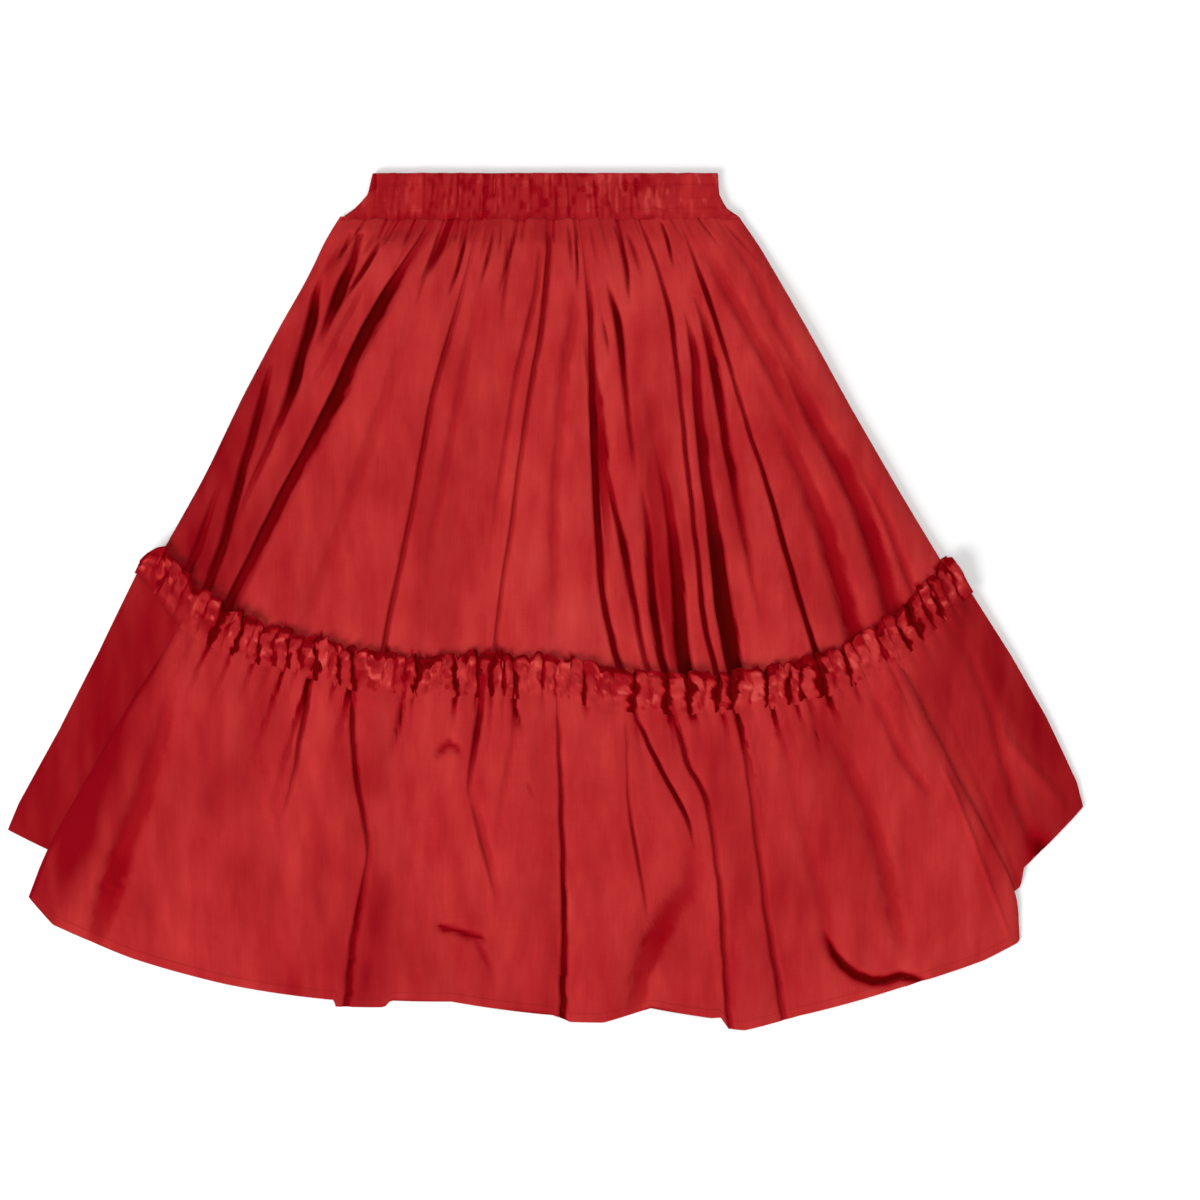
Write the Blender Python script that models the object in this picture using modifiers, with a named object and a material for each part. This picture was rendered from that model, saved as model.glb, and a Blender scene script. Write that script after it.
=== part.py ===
# Tiered gathered skirt with an elasticated waist, laid flat in a fan.
# The skirt lies on its back on the XY plane, +Z up, with its waist towards +Y. Its tiers spread from one fan point
# above the waist, so places on the cloth are given by an angle from straight down and a share of the way down a tier.

import math
from collections import namedtuple

import bmesh
import bpy
import numpy as np

COLLECTION_NAME = "Tiered_Gathered_Skirt"

# Driving sizes, in millimetres unless the name says otherwise.
FAN_X = -9.9
FAN_Y = 661.0
WAIST_TOP_Y = 408.3
WAIST_SEAM_Y = 364.6
HEADING_HEIGHT = 44.0
CLOTH_WALL = 1.2
HEADING_WALL = 1.0
CASING_WALL = 2.4
SEAM_GAP = 0.4
SIDE_ROUNDING = 34.0
HEADING_REST = 3.9
UPPER_COLUMNS = 64
FLOUNCE_COLUMNS = 80
HEADING_WAVES_FRONT = 48
HEADING_WAVES_BACK = 36
CASING_GATHERS_FRONT = 32
CASING_GATHERS_BACK = 24

CLOTH_RED = (0.45, 0.028, 0.028, 1.0)
CASING_RED = (0.38, 0.020, 0.022, 1.0)

Angle = namedtuple("Angle", "share left right")
Radius = namedtuple("Radius", "deg mm")
Height = namedtuple("Height", "share mm")
Side = namedtuple("Side", "down left right")
Guide = namedtuple("Guide", "column deg_top deg_middle deg_bottom")
Fold = namedtuple("Fold", "name deg_1 share_1 deg_2 share_2 deg_3 share_3 left right depth")

# The casing's side edges, down from its top edge.
CASING_SIDES = [
    Side(0.00, -164.7, 164.0),
    Side(0.45, -169.0, 165.1),
    Side(0.75, -178.0, 170.0),
    Side(1.00, -191.5, 181.0),
]

# The upper tier's side edges.
UPPER_EDGES = [
    Angle(0.00, -31.8, 33.0),
    Angle(0.06, -32.2, 33.6),
    Angle(0.16, -31.6, 33.3),
    Angle(0.30, -31.4, 32.9),
    Angle(0.50, -30.9, 32.3),
    Angle(0.70, -30.2, 32.0),
    Angle(1.00, -30.0, 31.8),
]

# The line that the flounce is gathered on.
STITCH_LINE = [
    Radius(-31.0, 738),
    Radius(-29.4, 742),
    Radius(-26.1, 767),
    Radius(-20.6, 770),
    Radius(-17.5, 765),
    Radius(-10.2, 765),
    Radius(-4.0, 753),
    Radius(1.6, 754),
    Radius(4.7, 766),
    Radius(9.1, 778),
    Radius(14.8, 793),
    Radius(19.4, 801),
    Radius(22.5, 803),
    Radius(26.1, 796),
    Radius(29.2, 785),
    Radius(32.6, 772),
]

# The front hem steps where folded layers end.
FRONT_HEM = [
    Radius(-27.4, 1057),
    Radius(-25.4, 1072),
    Radius(-21.0, 1072),
    Radius(-14.7, 1064),
    Radius(-10.4, 1065),
    Radius(-9.9, 1058),
    Radius(-4.4, 1045),
    Radius(0.9, 1055),
    Radius(1.8, 1062),
    Radius(3.5, 1064),
    Radius(6.0, 1054),
    Radius(9.0, 1071),
    Radius(9.6, 1084),
    Radius(10.6, 1088),
    Radius(13.4, 1085),
    Radius(18.6, 1086),
    Radius(23.1, 1090),
    Radius(25.0, 1088),
    Radius(27.0, 1066),
]
BACK_HEM = [Radius(-30.0, 1012), Radius(-27.0, 1008), Radius(27.0, 1008), Radius(31.4, 1003)]
FLAP_HEM = [
    Radius(-30.0, 1012),
    Radius(-24.0, 1008),
    Radius(23.0, 1040),
    Radius(26.2, 1042),
    Radius(28.0, 1021),
    Radius(31.4, 1003),
]

FLOUNCE_FRONT_EDGES = [
    Angle(0.00, -26.2, 25.7),
    Angle(0.30, -26.9, 25.8),
    Angle(0.80, -27.4, 26.1),
    Angle(0.93, -27.3, 25.9),
    Angle(1.00, -27.1, 25.0),
]
FLOUNCE_BACK_EDGES = [
    Angle(0.00, -30.9, 32.5),
    Angle(0.30, -30.4, 32.5),
    Angle(0.60, -30.1, 32.3),
    Angle(0.90, -30.0, 31.8),
    Angle(1.00, -29.8, 31.4),
]
FLAP_INNER = Angle(0.0, -24.6, 23.6)

# How high the outside of each front tier lies over the floor.
UPPER_LOFT = [
    Height(0.00, 7.4),
    Height(0.05, 12.4),
    Height(0.12, 15.6),
    Height(0.30, 17.2),
    Height(0.60, 17.0),
    Height(0.85, 17.0),
    Height(1.00, 17.6),
]
UPPER_EDGE_HEIGHT = [
    Height(0.00, 5.6),
    Height(0.05, 5.0),
    Height(0.80, 5.0),
    Height(0.89, 7.0),
    Height(1.00, 7.4),
]
FLOUNCE_LOFT = [
    Height(0.00, 19.4),
    Height(0.12, 19.6),
    Height(0.30, 18.2),
    Height(0.50, 15.4),
    Height(0.70, 11.4),
    Height(0.84, 7.8),
    Height(0.93, 5.0),
    Height(1.00, 3.6),
]
FLOUNCE_EDGE_HEIGHT = [
    Height(0.00, 17.2),
    Height(0.30, 16.8),
    Height(0.60, 12.4),
    Height(0.84, 6.6),
    Height(0.93, 3.6),
    Height(1.00, 2.2),
]
FLAP_FOLD_HEIGHT = [Height(0.00, 8.0), Height(0.15, 7.0), Height(0.40, 6.0), Height(1.00, 3.6)]
FLAP_RISE = [
    Height(0.00, 8.8),
    Height(0.15, 10.4),
    Height(0.40, 10.2),
    Height(0.70, 6.2),
    Height(1.00, 0.4),
]

# The column lines of the upper tier run down its long folds.
UPPER_GUIDES = [
    Guide(10, -19.0, -22.7, -24.0),
    Guide(21, -10.4, -11.8, -11.6),
    Guide(32, 2.4, -1.6, -3.5),
    Guide(39, 8.4, 6.0, 6.7),
    Guide(52, 21.5, 16.9, 14.4),
    Guide(57, 25.2, 22.0, 20.2),
]
FLOUNCE_GUIDES = [
    Guide(20, -13.2, -9.9, -9.9),
    Guide(43, 1.6, 1.7, 1.4),
    Guide(56, 9.8, 10.8, 9.9),
    Guide(61, 14.0, 13.1, 12.5),
]

# Valleys in the outside of the front, each along a bent line, with its reach to each side and its depth.
UPPER_FOLDS = [
    Fold("left_deep", -19.2, 0.02, -22.4, 0.34, -23.9, 0.92, 4, 16, 11.0),
    Fold("left_shoulder", -28.3, 0.05, -26.9, 0.15, -26.1, 0.30, 6, 8, 8.3),
    Fold("left_side_high", -29.7, 0.17, -27.5, 0.38, -26.1, 0.68, 5, 7, 6.9),
    Fold("left_side_low", -29.8, 0.42, -27.5, 0.64, -25.8, 0.88, 5, 7, 6.9),
    Fold("left_long", -10.6, 0.10, -11.7, 0.42, -11.6, 1.00, 4, 6, 7.6),
    Fold("middle_soft", 0.0, 0.07, -1.7, 0.24, -2.7, 0.42, 7, 8, 4.8),
    Fold("middle_long", 2.1, 0.05, -1.4, 0.47, -3.4, 1.00, 5, 6, 8.3),
    Fold("centre_long", 8.1, 0.10, 5.9, 0.60, 6.8, 1.00, 4, 7, 8.3),
    Fold("centre_short", 11.8, 0.12, 11.2, 0.22, 10.6, 0.38, 5, 5, 4.8),
    Fold("centre_low", 7.0, 0.46, 7.9, 0.68, 8.4, 0.96, 5, 6, 6.2),
    Fold("right_soft_low", 10.2, 0.60, 9.4, 0.76, 9.8, 0.96, 5, 6, 5.5),
    Fold("right_dark_low", 12.0, 0.52, 12.2, 0.66, 11.0, 0.96, 6, 7, 7.6),
    Fold("right_thin_long", 19.0, 0.10, 15.4, 0.50, 13.3, 1.00, 4, 4, 6.9),
    Fold("right_deep", 20.6, 0.17, 17.0, 0.48, 14.5, 1.00, 5, 13, 11.0),
    Fold("right_inner", 22.8, 0.15, 20.6, 0.37, 18.8, 0.62, 5, 6, 7.6),
    Fold("right_long", 24.8, 0.07, 22.0, 0.50, 20.3, 1.00, 5, 6, 8.3),
    Fold("right_outer", 24.7, 0.50, 24.9, 0.65, 23.6, 0.90, 7, 8, 5.5),
    Fold("right_side", 29.0, 0.42, 28.8, 0.62, 26.6, 0.92, 9, 9, 6.2),
]
FLOUNCE_FOLDS = [
    Fold("left_soft", -24.5, 0.25, -23.8, 0.60, -23.1, 0.98, 9, 9, 5.5),
    Fold("left_short", -16.5, 0.00, -15.9, 0.13, -15.6, 0.38, 5, 6, 5.5),
    Fold("left_bent", -13.2, 0.00, -9.9, 0.50, -9.9, 1.00, 6, 9, 7.6),
    Fold("middle_short", -4.2, 0.00, -4.2, 0.13, -4.2, 0.30, 5, 5, 4.8),
    Fold("middle_wedge", -3.5, 0.36, -2.8, 0.50, -2.0, 0.70, 6, 6, 4.8),
    Fold("centre_hard", 1.6, 0.00, 1.7, 0.50, 1.4, 1.00, 4, 8, 8.3),
    Fold("centre_thin", 6.2, 0.00, 6.0, 0.32, 6.1, 0.62, 4, 5, 4.8),
    Fold("centre_diagonal", 7.0, 0.00, 8.0, 0.13, 9.9, 0.40, 5, 8, 7.6),
    Fold("right_wandering", 9.9, 0.06, 10.9, 0.40, 9.9, 1.00, 5, 7, 6.9),
    Fold("right_long", 14.0, 0.00, 13.2, 0.50, 12.5, 1.00, 5, 7, 5.5),
    Fold("low_wide", 9.0, 0.53, 6.3, 0.72, 4.7, 0.96, 9, 9, 4.1),
    Fold("right_soft", 19.9, 0.34, 19.8, 0.61, 19.5, 0.85, 8, 8, 4.8),
    Fold("right_side", 23.2, 0.06, 23.2, 0.29, 23.9, 0.50, 6, 6, 5.5),
]
# Creases that rise off the floor in the back.
UPPER_BACK_FOLDS = [
    Fold("back_1", -25.0, 0.02, -24.0, 0.40, -23.5, 0.80, 9, 9, 2.0),
    Fold("back_2", -16.5, 0.05, -15.0, 0.30, -14.5, 0.62, 8, 10, 1.7),
    Fold("back_3", -8.0, 0.02, -7.0, 0.45, -7.4, 0.84, 9, 8, 2.0),
    Fold("back_4", 2.5, 0.04, 3.0, 0.25, 3.6, 0.50, 8, 9, 1.6),
    Fold("back_5", 10.5, 0.02, 11.2, 0.40, 12.0, 0.82, 8, 10, 2.0),
    Fold("back_6", 20.0, 0.05, 19.0, 0.35, 19.5, 0.70, 9, 9, 1.8),
    Fold("back_7", 27.0, 0.10, 26.2, 0.45, 26.5, 0.82, 9, 9, 1.6),
]
FLOUNCE_BACK_FOLDS = [
    Fold("back_1", -22.0, 0.00, -22.6, 0.40, -22.0, 0.80, 10, 10, 1.9),
    Fold("back_2", -12.0, 0.00, -11.5, 0.50, -11.0, 1.00, 10, 9, 2.0),
    Fold("back_3", -2.0, 0.00, -1.4, 0.30, -1.8, 0.65, 10, 10, 1.7),
    Fold("back_4", 8.5, 0.00, 8.0, 0.50, 8.8, 1.00, 9, 10, 2.0),
    Fold("back_5", 17.0, 0.00, 17.5, 0.35, 17.0, 0.75, 10, 10, 1.8),
]

UPPER_ROWS = [0, 0.03, 0.07, 0.13, 0.22, 0.34, 0.47, 0.60, 0.73, 0.84, 0.92, 1]
UPPER_BACK_ROWS = [0, 0.05, 0.15, 0.33, 0.52, 0.70, 0.82, 0.885, 1]
FLOUNCE_ROWS = [0, 0.05, 0.13, 0.26, 0.42, 0.58, 0.72, 0.83, 0.91, 1]
FLOUNCE_BACK_ROWS = [0, 0.06, 0.18, 0.36, 0.58, 0.80, 1]


def read(table, at, key, value):
    """A table's column against another, between its rows."""
    return float(np.interp(at, [getattr(r, key) for r in table], [getattr(r, value) for r in table]))


def radius_at(table, deg):
    return read(table, deg, "deg", "mm")


def height_at(table, share):
    return read(table, share, "share", "mm")


def smooth(x):
    x = min(max(x, 0.0), 1.0)
    return x * x * (3 - 2 * x)


def uneven(i, low, high):
    """A steady irregular number between two limits for the i-th of a repeat."""
    return low + (high - low) * ((math.sin(i * 12.9898 + 4.1) * 43758.5453) % 1.0)


def fan_point(deg, radius, z):
    """A point of the fan, in metres."""
    a = math.radians(deg)
    return (0.001 * (FAN_X + radius * math.sin(a)), 0.001 * (FAN_Y - radius * math.cos(a)), 0.001 * z)


def stitch_radius(deg):
    """The gather line's radius, its bends rounded over a couple of degrees."""
    return sum(radius_at(STITCH_LINE, deg + step) for step in (-1.4, -0.7, 0, 0.7, 1.4)) / 5


def waist_radius(deg):
    return (FAN_Y - WAIST_SEAM_Y) / math.cos(math.radians(deg))


def columns_at(edges, guides, count, share):
    """The angle of each column line at this share of the way down."""
    at = [0] + [g.column for g in guides] + [count]
    middle = [np.interp(share, [0, 0.5, 1], [g.deg_top, g.deg_middle, g.deg_bottom]) for g in guides]
    degs = [read(edges, share, "share", "left")] + middle + [read(edges, share, "share", "right")]
    return np.interp(np.arange(count + 1), at, degs)


def fold_depth(folds, deg, share, radius, spacing):
    """How far the folds take the cloth from its loft at one place. A fold is at least as wide as the columns are apart."""
    total = 0.0
    for fold in folds:
        if not fold.share_1 - 0.001 <= share <= fold.share_3 + 0.001:
            continue
        centre = np.interp(share, [fold.share_1, fold.share_2, fold.share_3], [fold.deg_1, fold.deg_2, fold.deg_3])
        off = math.radians(deg - centre) * radius
        reach = max(fold.left if off < 0 else fold.right, spacing)
        if abs(off) >= reach:
            continue
        begins = 1.0 if fold.share_1 <= 0 else smooth((share - fold.share_1) / 0.12)
        ends = 1.0 if fold.share_3 >= 1 else smooth((fold.share_3 - share) / 0.16)
        total = max(total, fold.depth * begins * ends * (1 - abs(off) / reach))
    return total


def side_share(distance, rounding):
    """Rises from 0 at a side edge to 1 at the rounding's width, along a quarter of an ellipse."""
    t = min(max(distance / rounding, 0.0), 1.0)
    return math.sqrt(1 - (1 - t) ** 2)


def upper_front_z(column, share, degs, radius):
    deg = degs[column]
    distance = math.radians(min(deg - degs[0], degs[-1] - deg)) * radius
    low = height_at(UPPER_EDGE_HEIGHT, share)
    z = low + (height_at(UPPER_LOFT, share) - low) * side_share(distance, SIDE_ROUNDING)
    spacing = math.radians(degs[-1] - degs[0]) * radius / (len(degs) - 1)
    z -= fold_depth(UPPER_FOLDS, deg, share, radius, spacing)
    gather = 1.7 * math.exp(-share / 0.08) * uneven(column, 0.6, 1.25)
    if 0 < column < UPPER_COLUMNS:
        z += gather if column % 2 == 0 else -gather
    return max(z, 7.0 if share > 0.86 else 5.6 if share > 0.02 else 5.4)


def upper_radius(deg, share):
    top = waist_radius(deg)
    return top + (stitch_radius(deg) - SEAM_GAP - top) * share


class UpperFront:
    """The outside of the upper tier's front, kept as a grid so that the heading can be made from its points."""

    def __init__(self):
        self.rows = []
        for share in UPPER_ROWS:
            degs = columns_at(UPPER_EDGES, UPPER_GUIDES, UPPER_COLUMNS, share)
            z = [upper_front_z(c, share, degs, upper_radius(degs[c], share)) for c in range(len(degs))]
            self.rows.append((degs, z))

    def point(self, column, row):
        degs, z = self.rows[row]
        return fan_point(degs[column], upper_radius(degs[column], UPPER_ROWS[row]), z[column])

    def z(self, deg, radius):
        """The height of the grid at an angle and radius, held at its edges beyond them."""
        top = waist_radius(deg)
        share = (radius - top) / (stitch_radius(deg) - top)
        share = min(max(share, 0.0), 1.0)
        row = min(int(np.searchsorted(UPPER_ROWS, share, side="right")) - 1, len(UPPER_ROWS) - 2)
        t = (share - UPPER_ROWS[row]) / (UPPER_ROWS[row + 1] - UPPER_ROWS[row])
        above, below = (np.interp(deg, *self.rows[r]) for r in (row, row + 1))
        return float(above + (below - above) * t)


upper_front_grid = UpperFront()


def upper_back_z(column, share, degs, radius):
    deg = degs[column]
    lift = HEADING_REST * smooth((share - 0.80) / 0.085)
    distance = math.radians(min(deg - degs[0], degs[-1] - deg)) * radius
    z = lift + 1.4 * (1 - lift / HEADING_REST) * (1 - side_share(distance, 14.0))
    spacing = math.radians(degs[-1] - degs[0]) * radius / (len(degs) - 1)
    if lift < 0.01:
        z += fold_depth(UPPER_BACK_FOLDS, deg, share, radius, spacing)
    if column % 2 and 0 < column < len(degs) - 1:
        z += 1.3 * math.exp(-share / 0.07) * uneven(column, 0.6, 1.2)
    return z


def flap_height(share, part):
    """The outside of the side flap, from its fold at 0 to its inner end at 1."""
    return height_at(FLAP_FOLD_HEIGHT, share) + height_at(FLAP_RISE, share) * part**0.8


def heading_front_point(u, v):
    deg = -31.0 + 63.6 * u
    wave = 0.5 + 0.5 * math.cos(2 * math.pi * HEADING_WAVES_FRONT * u + 1.1 * math.sin(9.0 * u * math.pi))
    size = uneven(round(HEADING_WAVES_FRONT * u), 0.7, 1.2)
    free = (1 - v) ** 0.8
    radius = stitch_radius(deg) - SEAM_GAP - (HEADING_HEIGHT + 2.6 * wave * size) * (1 - v)
    beyond = smooth(max(read(UPPER_EDGES, 0.95, "share", "left") - deg, deg - 31.8) / 1.0)
    z = upper_front_grid.z(deg, radius) + HEADING_WALL + 0.9 - 2.4 * beyond
    return fan_point(deg, radius, z + (0.9 + 5.2 * free * size) * wave)


def heading_back_point(u, v):
    deg = -31.0 + 63.6 * u
    wave = 0.5 - 0.5 * math.cos(2 * math.pi * HEADING_WAVES_BACK * u)
    radius = stitch_radius(deg) - SEAM_GAP - HEADING_HEIGHT * (1 - v)
    return fan_point(deg, radius, (0.8 + 1.5 * (1 - v)) * wave)


def flounce_front_z(column, share, degs, radius):
    deg = degs[column]
    distance = math.radians(min(deg - degs[0], degs[-1] - deg)) * radius
    low = height_at(FLOUNCE_EDGE_HEIGHT, share)
    puff = 3.6 * math.exp(-(((distance - 20) / 45) ** 2)) * smooth(share / 0.15) * smooth((0.85 - share) / 0.5)
    loft = height_at(FLOUNCE_LOFT, share)
    seam = upper_front_grid.z(deg, stitch_radius(deg)) + HEADING_WALL + 0.9
    loft += (seam - loft) * smooth(1 - share / 0.12)
    z = low + (max(loft, low) + puff - low) * side_share(distance, 18.0)
    spacing = math.radians(degs[-1] - degs[0]) * radius / (len(degs) - 1)
    z -= fold_depth(FLOUNCE_FOLDS, deg, share, radius, spacing) * (0.35 if share > 0.95 else 1)
    gather = 1.7 * smooth(0.35 + share / 0.07) * math.exp(-max(share - 0.05, 0) / 0.12)
    if 0 < column < FLOUNCE_COLUMNS:
        z += gather * uneven(column, 0.5, 1.2) * (1 if column % 2 == 0 else -1)
    return max(z, low - 0.4 if distance < 30 else 0, 5.1 if radius < 1020 else 1.5)


def flounce_back_stations(share):
    """The section of the back flounce as angles and heights: flap, side fold, bottom, side fold, flap."""
    left, right = (read(FLOUNCE_BACK_EDGES, share, "share", s) for s in ("left", "right"))
    fold = height_at(FLAP_FOLD_HEIGHT, share)
    near = math.degrees(1 / 900)
    parts = [1.0, 0.8, 0.6, 0.4, 0.2, 0.05]
    flap = [(p, flap_height(share, p) if p > 0.1 else 0.93 * fold) for p in parts]
    stations = [(left + (FLAP_INNER.left - left) * p, z, True) for p, z in flap]
    stations += [(left, 0.5 * fold, True), (left + 2.2 * near, 0.1 * fold, False), (left + 8 * near, 0.0, False)]
    middle = np.linspace(left + 20 * near, right - 20 * near, 41)
    stations += [(deg, 0.0, False) for deg in middle]
    stations += [(right - 8 * near, 0.0, False), (right - 2.2 * near, 0.1 * fold, False), (right, 0.5 * fold, True)]
    stations += [(right + (FLAP_INNER.right - right) * p, z, True) for p, z in reversed(flap)]
    return stations


def flounce_back_point(column, share):
    stations = flounce_back_stations(share)
    deg, z, on_flap = stations[column]
    start = stitch_radius(deg) + 2 * SEAM_GAP
    radius = start + (radius_at(FLAP_HEM if on_flap else BACK_HEM, deg) - start) * share
    if 9 < column < len(stations) - 10:
        spacing = math.radians(1.5) * radius
        z += fold_depth(FLOUNCE_BACK_FOLDS, deg, share, radius, spacing)
        if column % 2:
            z += 1.3 * math.exp(-share / 0.10) * uneven(column, 0.5, 1.2)
    return fan_point(deg, radius, z)


def casing_point(gathers, outside, ripple, down):
    """A point maker for one face of the elastic casing, whose outside lies at a height and ripples with the gathers."""

    def point(u, v):
        left, right = read(CASING_SIDES, v, "down", "left"), read(CASING_SIDES, v, "down", "right")
        wave = math.cos(2 * math.pi * gathers * u + 0.9 * math.sin(14 * u)) * uneven(round(2 * gathers * u), 0.55, 1.1)
        size = ripple * (0.65 + 0.35 * v)
        bulge = 0.5 * math.sin(math.pi * v)
        z = outside + (size * (1 + wave) if down else size * wave + bulge)
        ends = 1 - side_share(min(u, 1 - u) * (right - left), 5.0)
        z += 0.9 * ends if down else -0.9 * ends
        y = WAIST_TOP_Y + (WAIST_SEAM_Y + SEAM_GAP - WAIST_TOP_Y) * v
        return (0.001 * (left + (right - left) * u), 0.001 * y, 0.001 * max(z, 0.0))

    return point


def cloth_material(name, colour):
    material = bpy.data.materials.new(name)
    material.use_nodes = True
    shader = material.node_tree.nodes["Principled BSDF"]
    shader.inputs["Base Color"].default_value = colour
    shader.inputs["Roughness"].default_value = 0.62
    shader.inputs["Metallic"].default_value = 0.0
    material.diffuse_color = colour
    return material


def panel(name, columns, rows, point, wall, faces_up, colour=CLOTH_RED):
    """One cloth wall: a grid placed on the piece's outside, thickened inwards."""
    bm = bmesh.new()
    bmesh.ops.create_grid(bm, x_segments=columns, y_segments=rows, size=1.0)
    for vertex in bm.verts:
        column = round((vertex.co.x + 1) / 2 * columns)
        row = round((vertex.co.y + 1) / 2 * rows)
        vertex.co = point(column, row)
    bm.normal_update()
    up = sum(face.normal.z * face.calc_area() for face in bm.faces) > 0
    if up != faces_up:
        bmesh.ops.reverse_faces(bm, faces=bm.faces)
    mesh = bpy.data.meshes.new(name)
    bm.to_mesh(mesh)
    bm.free()
    mesh.materials.append(cloth_material(name, colour))
    piece = bpy.data.objects.new(name, mesh)
    shell = piece.modifiers.new("Wall", "SOLIDIFY")
    shell.thickness = 0.001 * wall
    shell.offset = -1.0
    shell.use_even_offset = True
    shell.thickness_clamp = 0.0
    bpy.data.collections[COLLECTION_NAME].objects.link(piece)
    mesh.shade_smooth()
    mesh.set_sharp_from_angle(angle=math.radians(50))
    return piece


def shares(point, columns, rows):
    """Turns a point maker that takes shares across and down into one that takes a column and a row."""
    return lambda column, row: point(column / columns, row / rows)


def build_casing():
    front = casing_point(CASING_GATHERS_FRONT, 7.6, 0.85, False)
    back = casing_point(CASING_GATHERS_BACK, 0.0, 0.6, True)
    columns, rows = 2 * CASING_GATHERS_FRONT, 4
    panel("waistband_front", columns, rows, shares(front, columns, rows), CASING_WALL, True, CASING_RED)
    columns, rows = 2 * CASING_GATHERS_BACK, 3
    panel("waistband_back", columns, rows, shares(back, columns, rows), CASING_WALL, False, CASING_RED)


def build_upper_tier():
    panel("upper_front", UPPER_COLUMNS, len(UPPER_ROWS) - 1, upper_front_grid.point, CLOTH_WALL, True)
    columns = 40

    def back(column, row):
        share = UPPER_BACK_ROWS[row]
        degs = columns_at(UPPER_EDGES, [], columns, share)
        radius = upper_radius(degs[column], share)
        return fan_point(degs[column], radius, upper_back_z(column, share, degs, radius))

    panel("upper_back", columns, len(UPPER_BACK_ROWS) - 1, back, CLOTH_WALL, False)


def build_heading():
    columns, rows = 4 * HEADING_WAVES_FRONT, 2
    panel("heading_front", columns, rows, shares(heading_front_point, columns, rows), HEADING_WALL, True)
    columns, rows = 4 * HEADING_WAVES_BACK, 1
    panel("heading_back", columns, rows, shares(heading_back_point, columns, rows), HEADING_WALL, False)


def build_flounce():
    def front(column, row):
        share = FLOUNCE_ROWS[row]
        degs = columns_at(FLOUNCE_FRONT_EDGES, FLOUNCE_GUIDES, FLOUNCE_COLUMNS, share)
        start = stitch_radius(degs[column]) + SEAM_GAP
        radius = start + (radius_at(FRONT_HEM, degs[column]) - start) * share
        return fan_point(degs[column], radius, flounce_front_z(column, share, degs, radius))

    panel("flounce_front", FLOUNCE_COLUMNS, len(FLOUNCE_ROWS) - 1, front, CLOTH_WALL, True)
    columns = len(flounce_back_stations(0)) - 1
    rows = len(FLOUNCE_BACK_ROWS) - 1
    panel(
        "flounce_back",
        columns,
        rows,
        lambda column, row: flounce_back_point(column, FLOUNCE_BACK_ROWS[row]),
        CLOTH_WALL,
        False,
    )


def main():
    for old in list(bpy.data.objects):
        bpy.data.objects.remove(old)
    collection = bpy.data.collections.new(COLLECTION_NAME)
    bpy.context.scene.collection.children.link(collection)
    build_casing()
    build_upper_tier()
    build_heading()
    build_flounce()


main()
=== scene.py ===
# A red tiered skirt, gathered on an elastic waist and laid flat in a fan.
import math

import bpy
import numpy as np
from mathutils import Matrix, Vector


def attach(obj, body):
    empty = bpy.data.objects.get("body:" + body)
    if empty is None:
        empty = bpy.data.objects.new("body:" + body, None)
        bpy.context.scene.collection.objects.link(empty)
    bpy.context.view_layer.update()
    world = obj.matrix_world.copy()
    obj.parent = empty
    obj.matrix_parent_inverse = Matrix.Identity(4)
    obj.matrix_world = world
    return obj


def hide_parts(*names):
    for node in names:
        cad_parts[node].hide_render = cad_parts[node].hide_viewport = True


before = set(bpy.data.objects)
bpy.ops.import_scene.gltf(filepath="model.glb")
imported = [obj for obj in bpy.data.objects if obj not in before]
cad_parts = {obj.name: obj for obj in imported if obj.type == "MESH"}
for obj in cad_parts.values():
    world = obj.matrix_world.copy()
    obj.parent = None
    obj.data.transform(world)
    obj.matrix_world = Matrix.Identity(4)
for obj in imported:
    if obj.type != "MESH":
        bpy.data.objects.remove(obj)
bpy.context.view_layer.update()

print("skirt: frame loaded,", len(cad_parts), "solids")

# A place on the cloth is an angle from straight down, in degrees, and a radius in mm. Both are taken from one point
# above the waist, which the skirt fans out from.
fan = {
    "x": -9.9,
    "y": 661.0,
    "waistTop": 408.3,
    "waistSeam": 364.6,
    "seamGap": 0.4,
    "wall": 0.45,  # the cloth's own thickness
    "sharpEdge": 72,  # degrees between faces, from which an edge isn't smoothed
    "stitchLine": [(-31.0, 738), (-29.4, 742), (-26.1, 767), (-20.6, 770), (-17.5, 765), (-10.2, 765), (-4.0, 753),
                   (1.6, 754), (4.7, 766), (9.1, 778), (14.8, 793), (19.4, 801), (22.5, 803), (26.1, 796),
                   (29.2, 785), (32.6, 772)],
}


# Sums on the cloth's points
def along(table, at, column=1):
    return np.interp(at, [row[0] for row in table], [row[column] for row in table])


def smooth(x):
    x = np.clip(x, 0.0, 1.0)
    return x * x * (3 - 2 * x)


def uneven(i, low=0.0, high=1.0):  # a steady irregular number for the i-th of a repeat
    return low + (high - low) * ((np.sin(np.asarray(i, float) * 12.9898 + 4.1) * 43758.5453) % 1.0)


def softNoise(x, y, salt=0.0):  # rolling hills between -1 and 1, one to a unit
    xi, yi = np.floor(x), np.floor(y)
    fx, fy = smooth(x - xi), smooth(y - yi)
    corner = lambda i, j: uneven((xi + i) * 57.31 + (yi + j) * 13.77 + salt, -1.0, 1.0)
    top = corner(0, 0) + (corner(1, 0) - corner(0, 0)) * fx
    low = corner(0, 1) + (corner(1, 1) - corner(0, 1)) * fx
    return top + (low - top) * fy


def fanPoints(deg, radius, z):
    a = np.radians(deg)
    return 0.001 * np.stack([fan["x"] + radius * np.sin(a), fan["y"] - radius * np.cos(a), z + 0 * a], axis=-1)


def fromSide(deg, left, right, radius):  # mm from the nearer side
    return np.radians(np.minimum(deg - left, right - deg)) * radius


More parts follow.
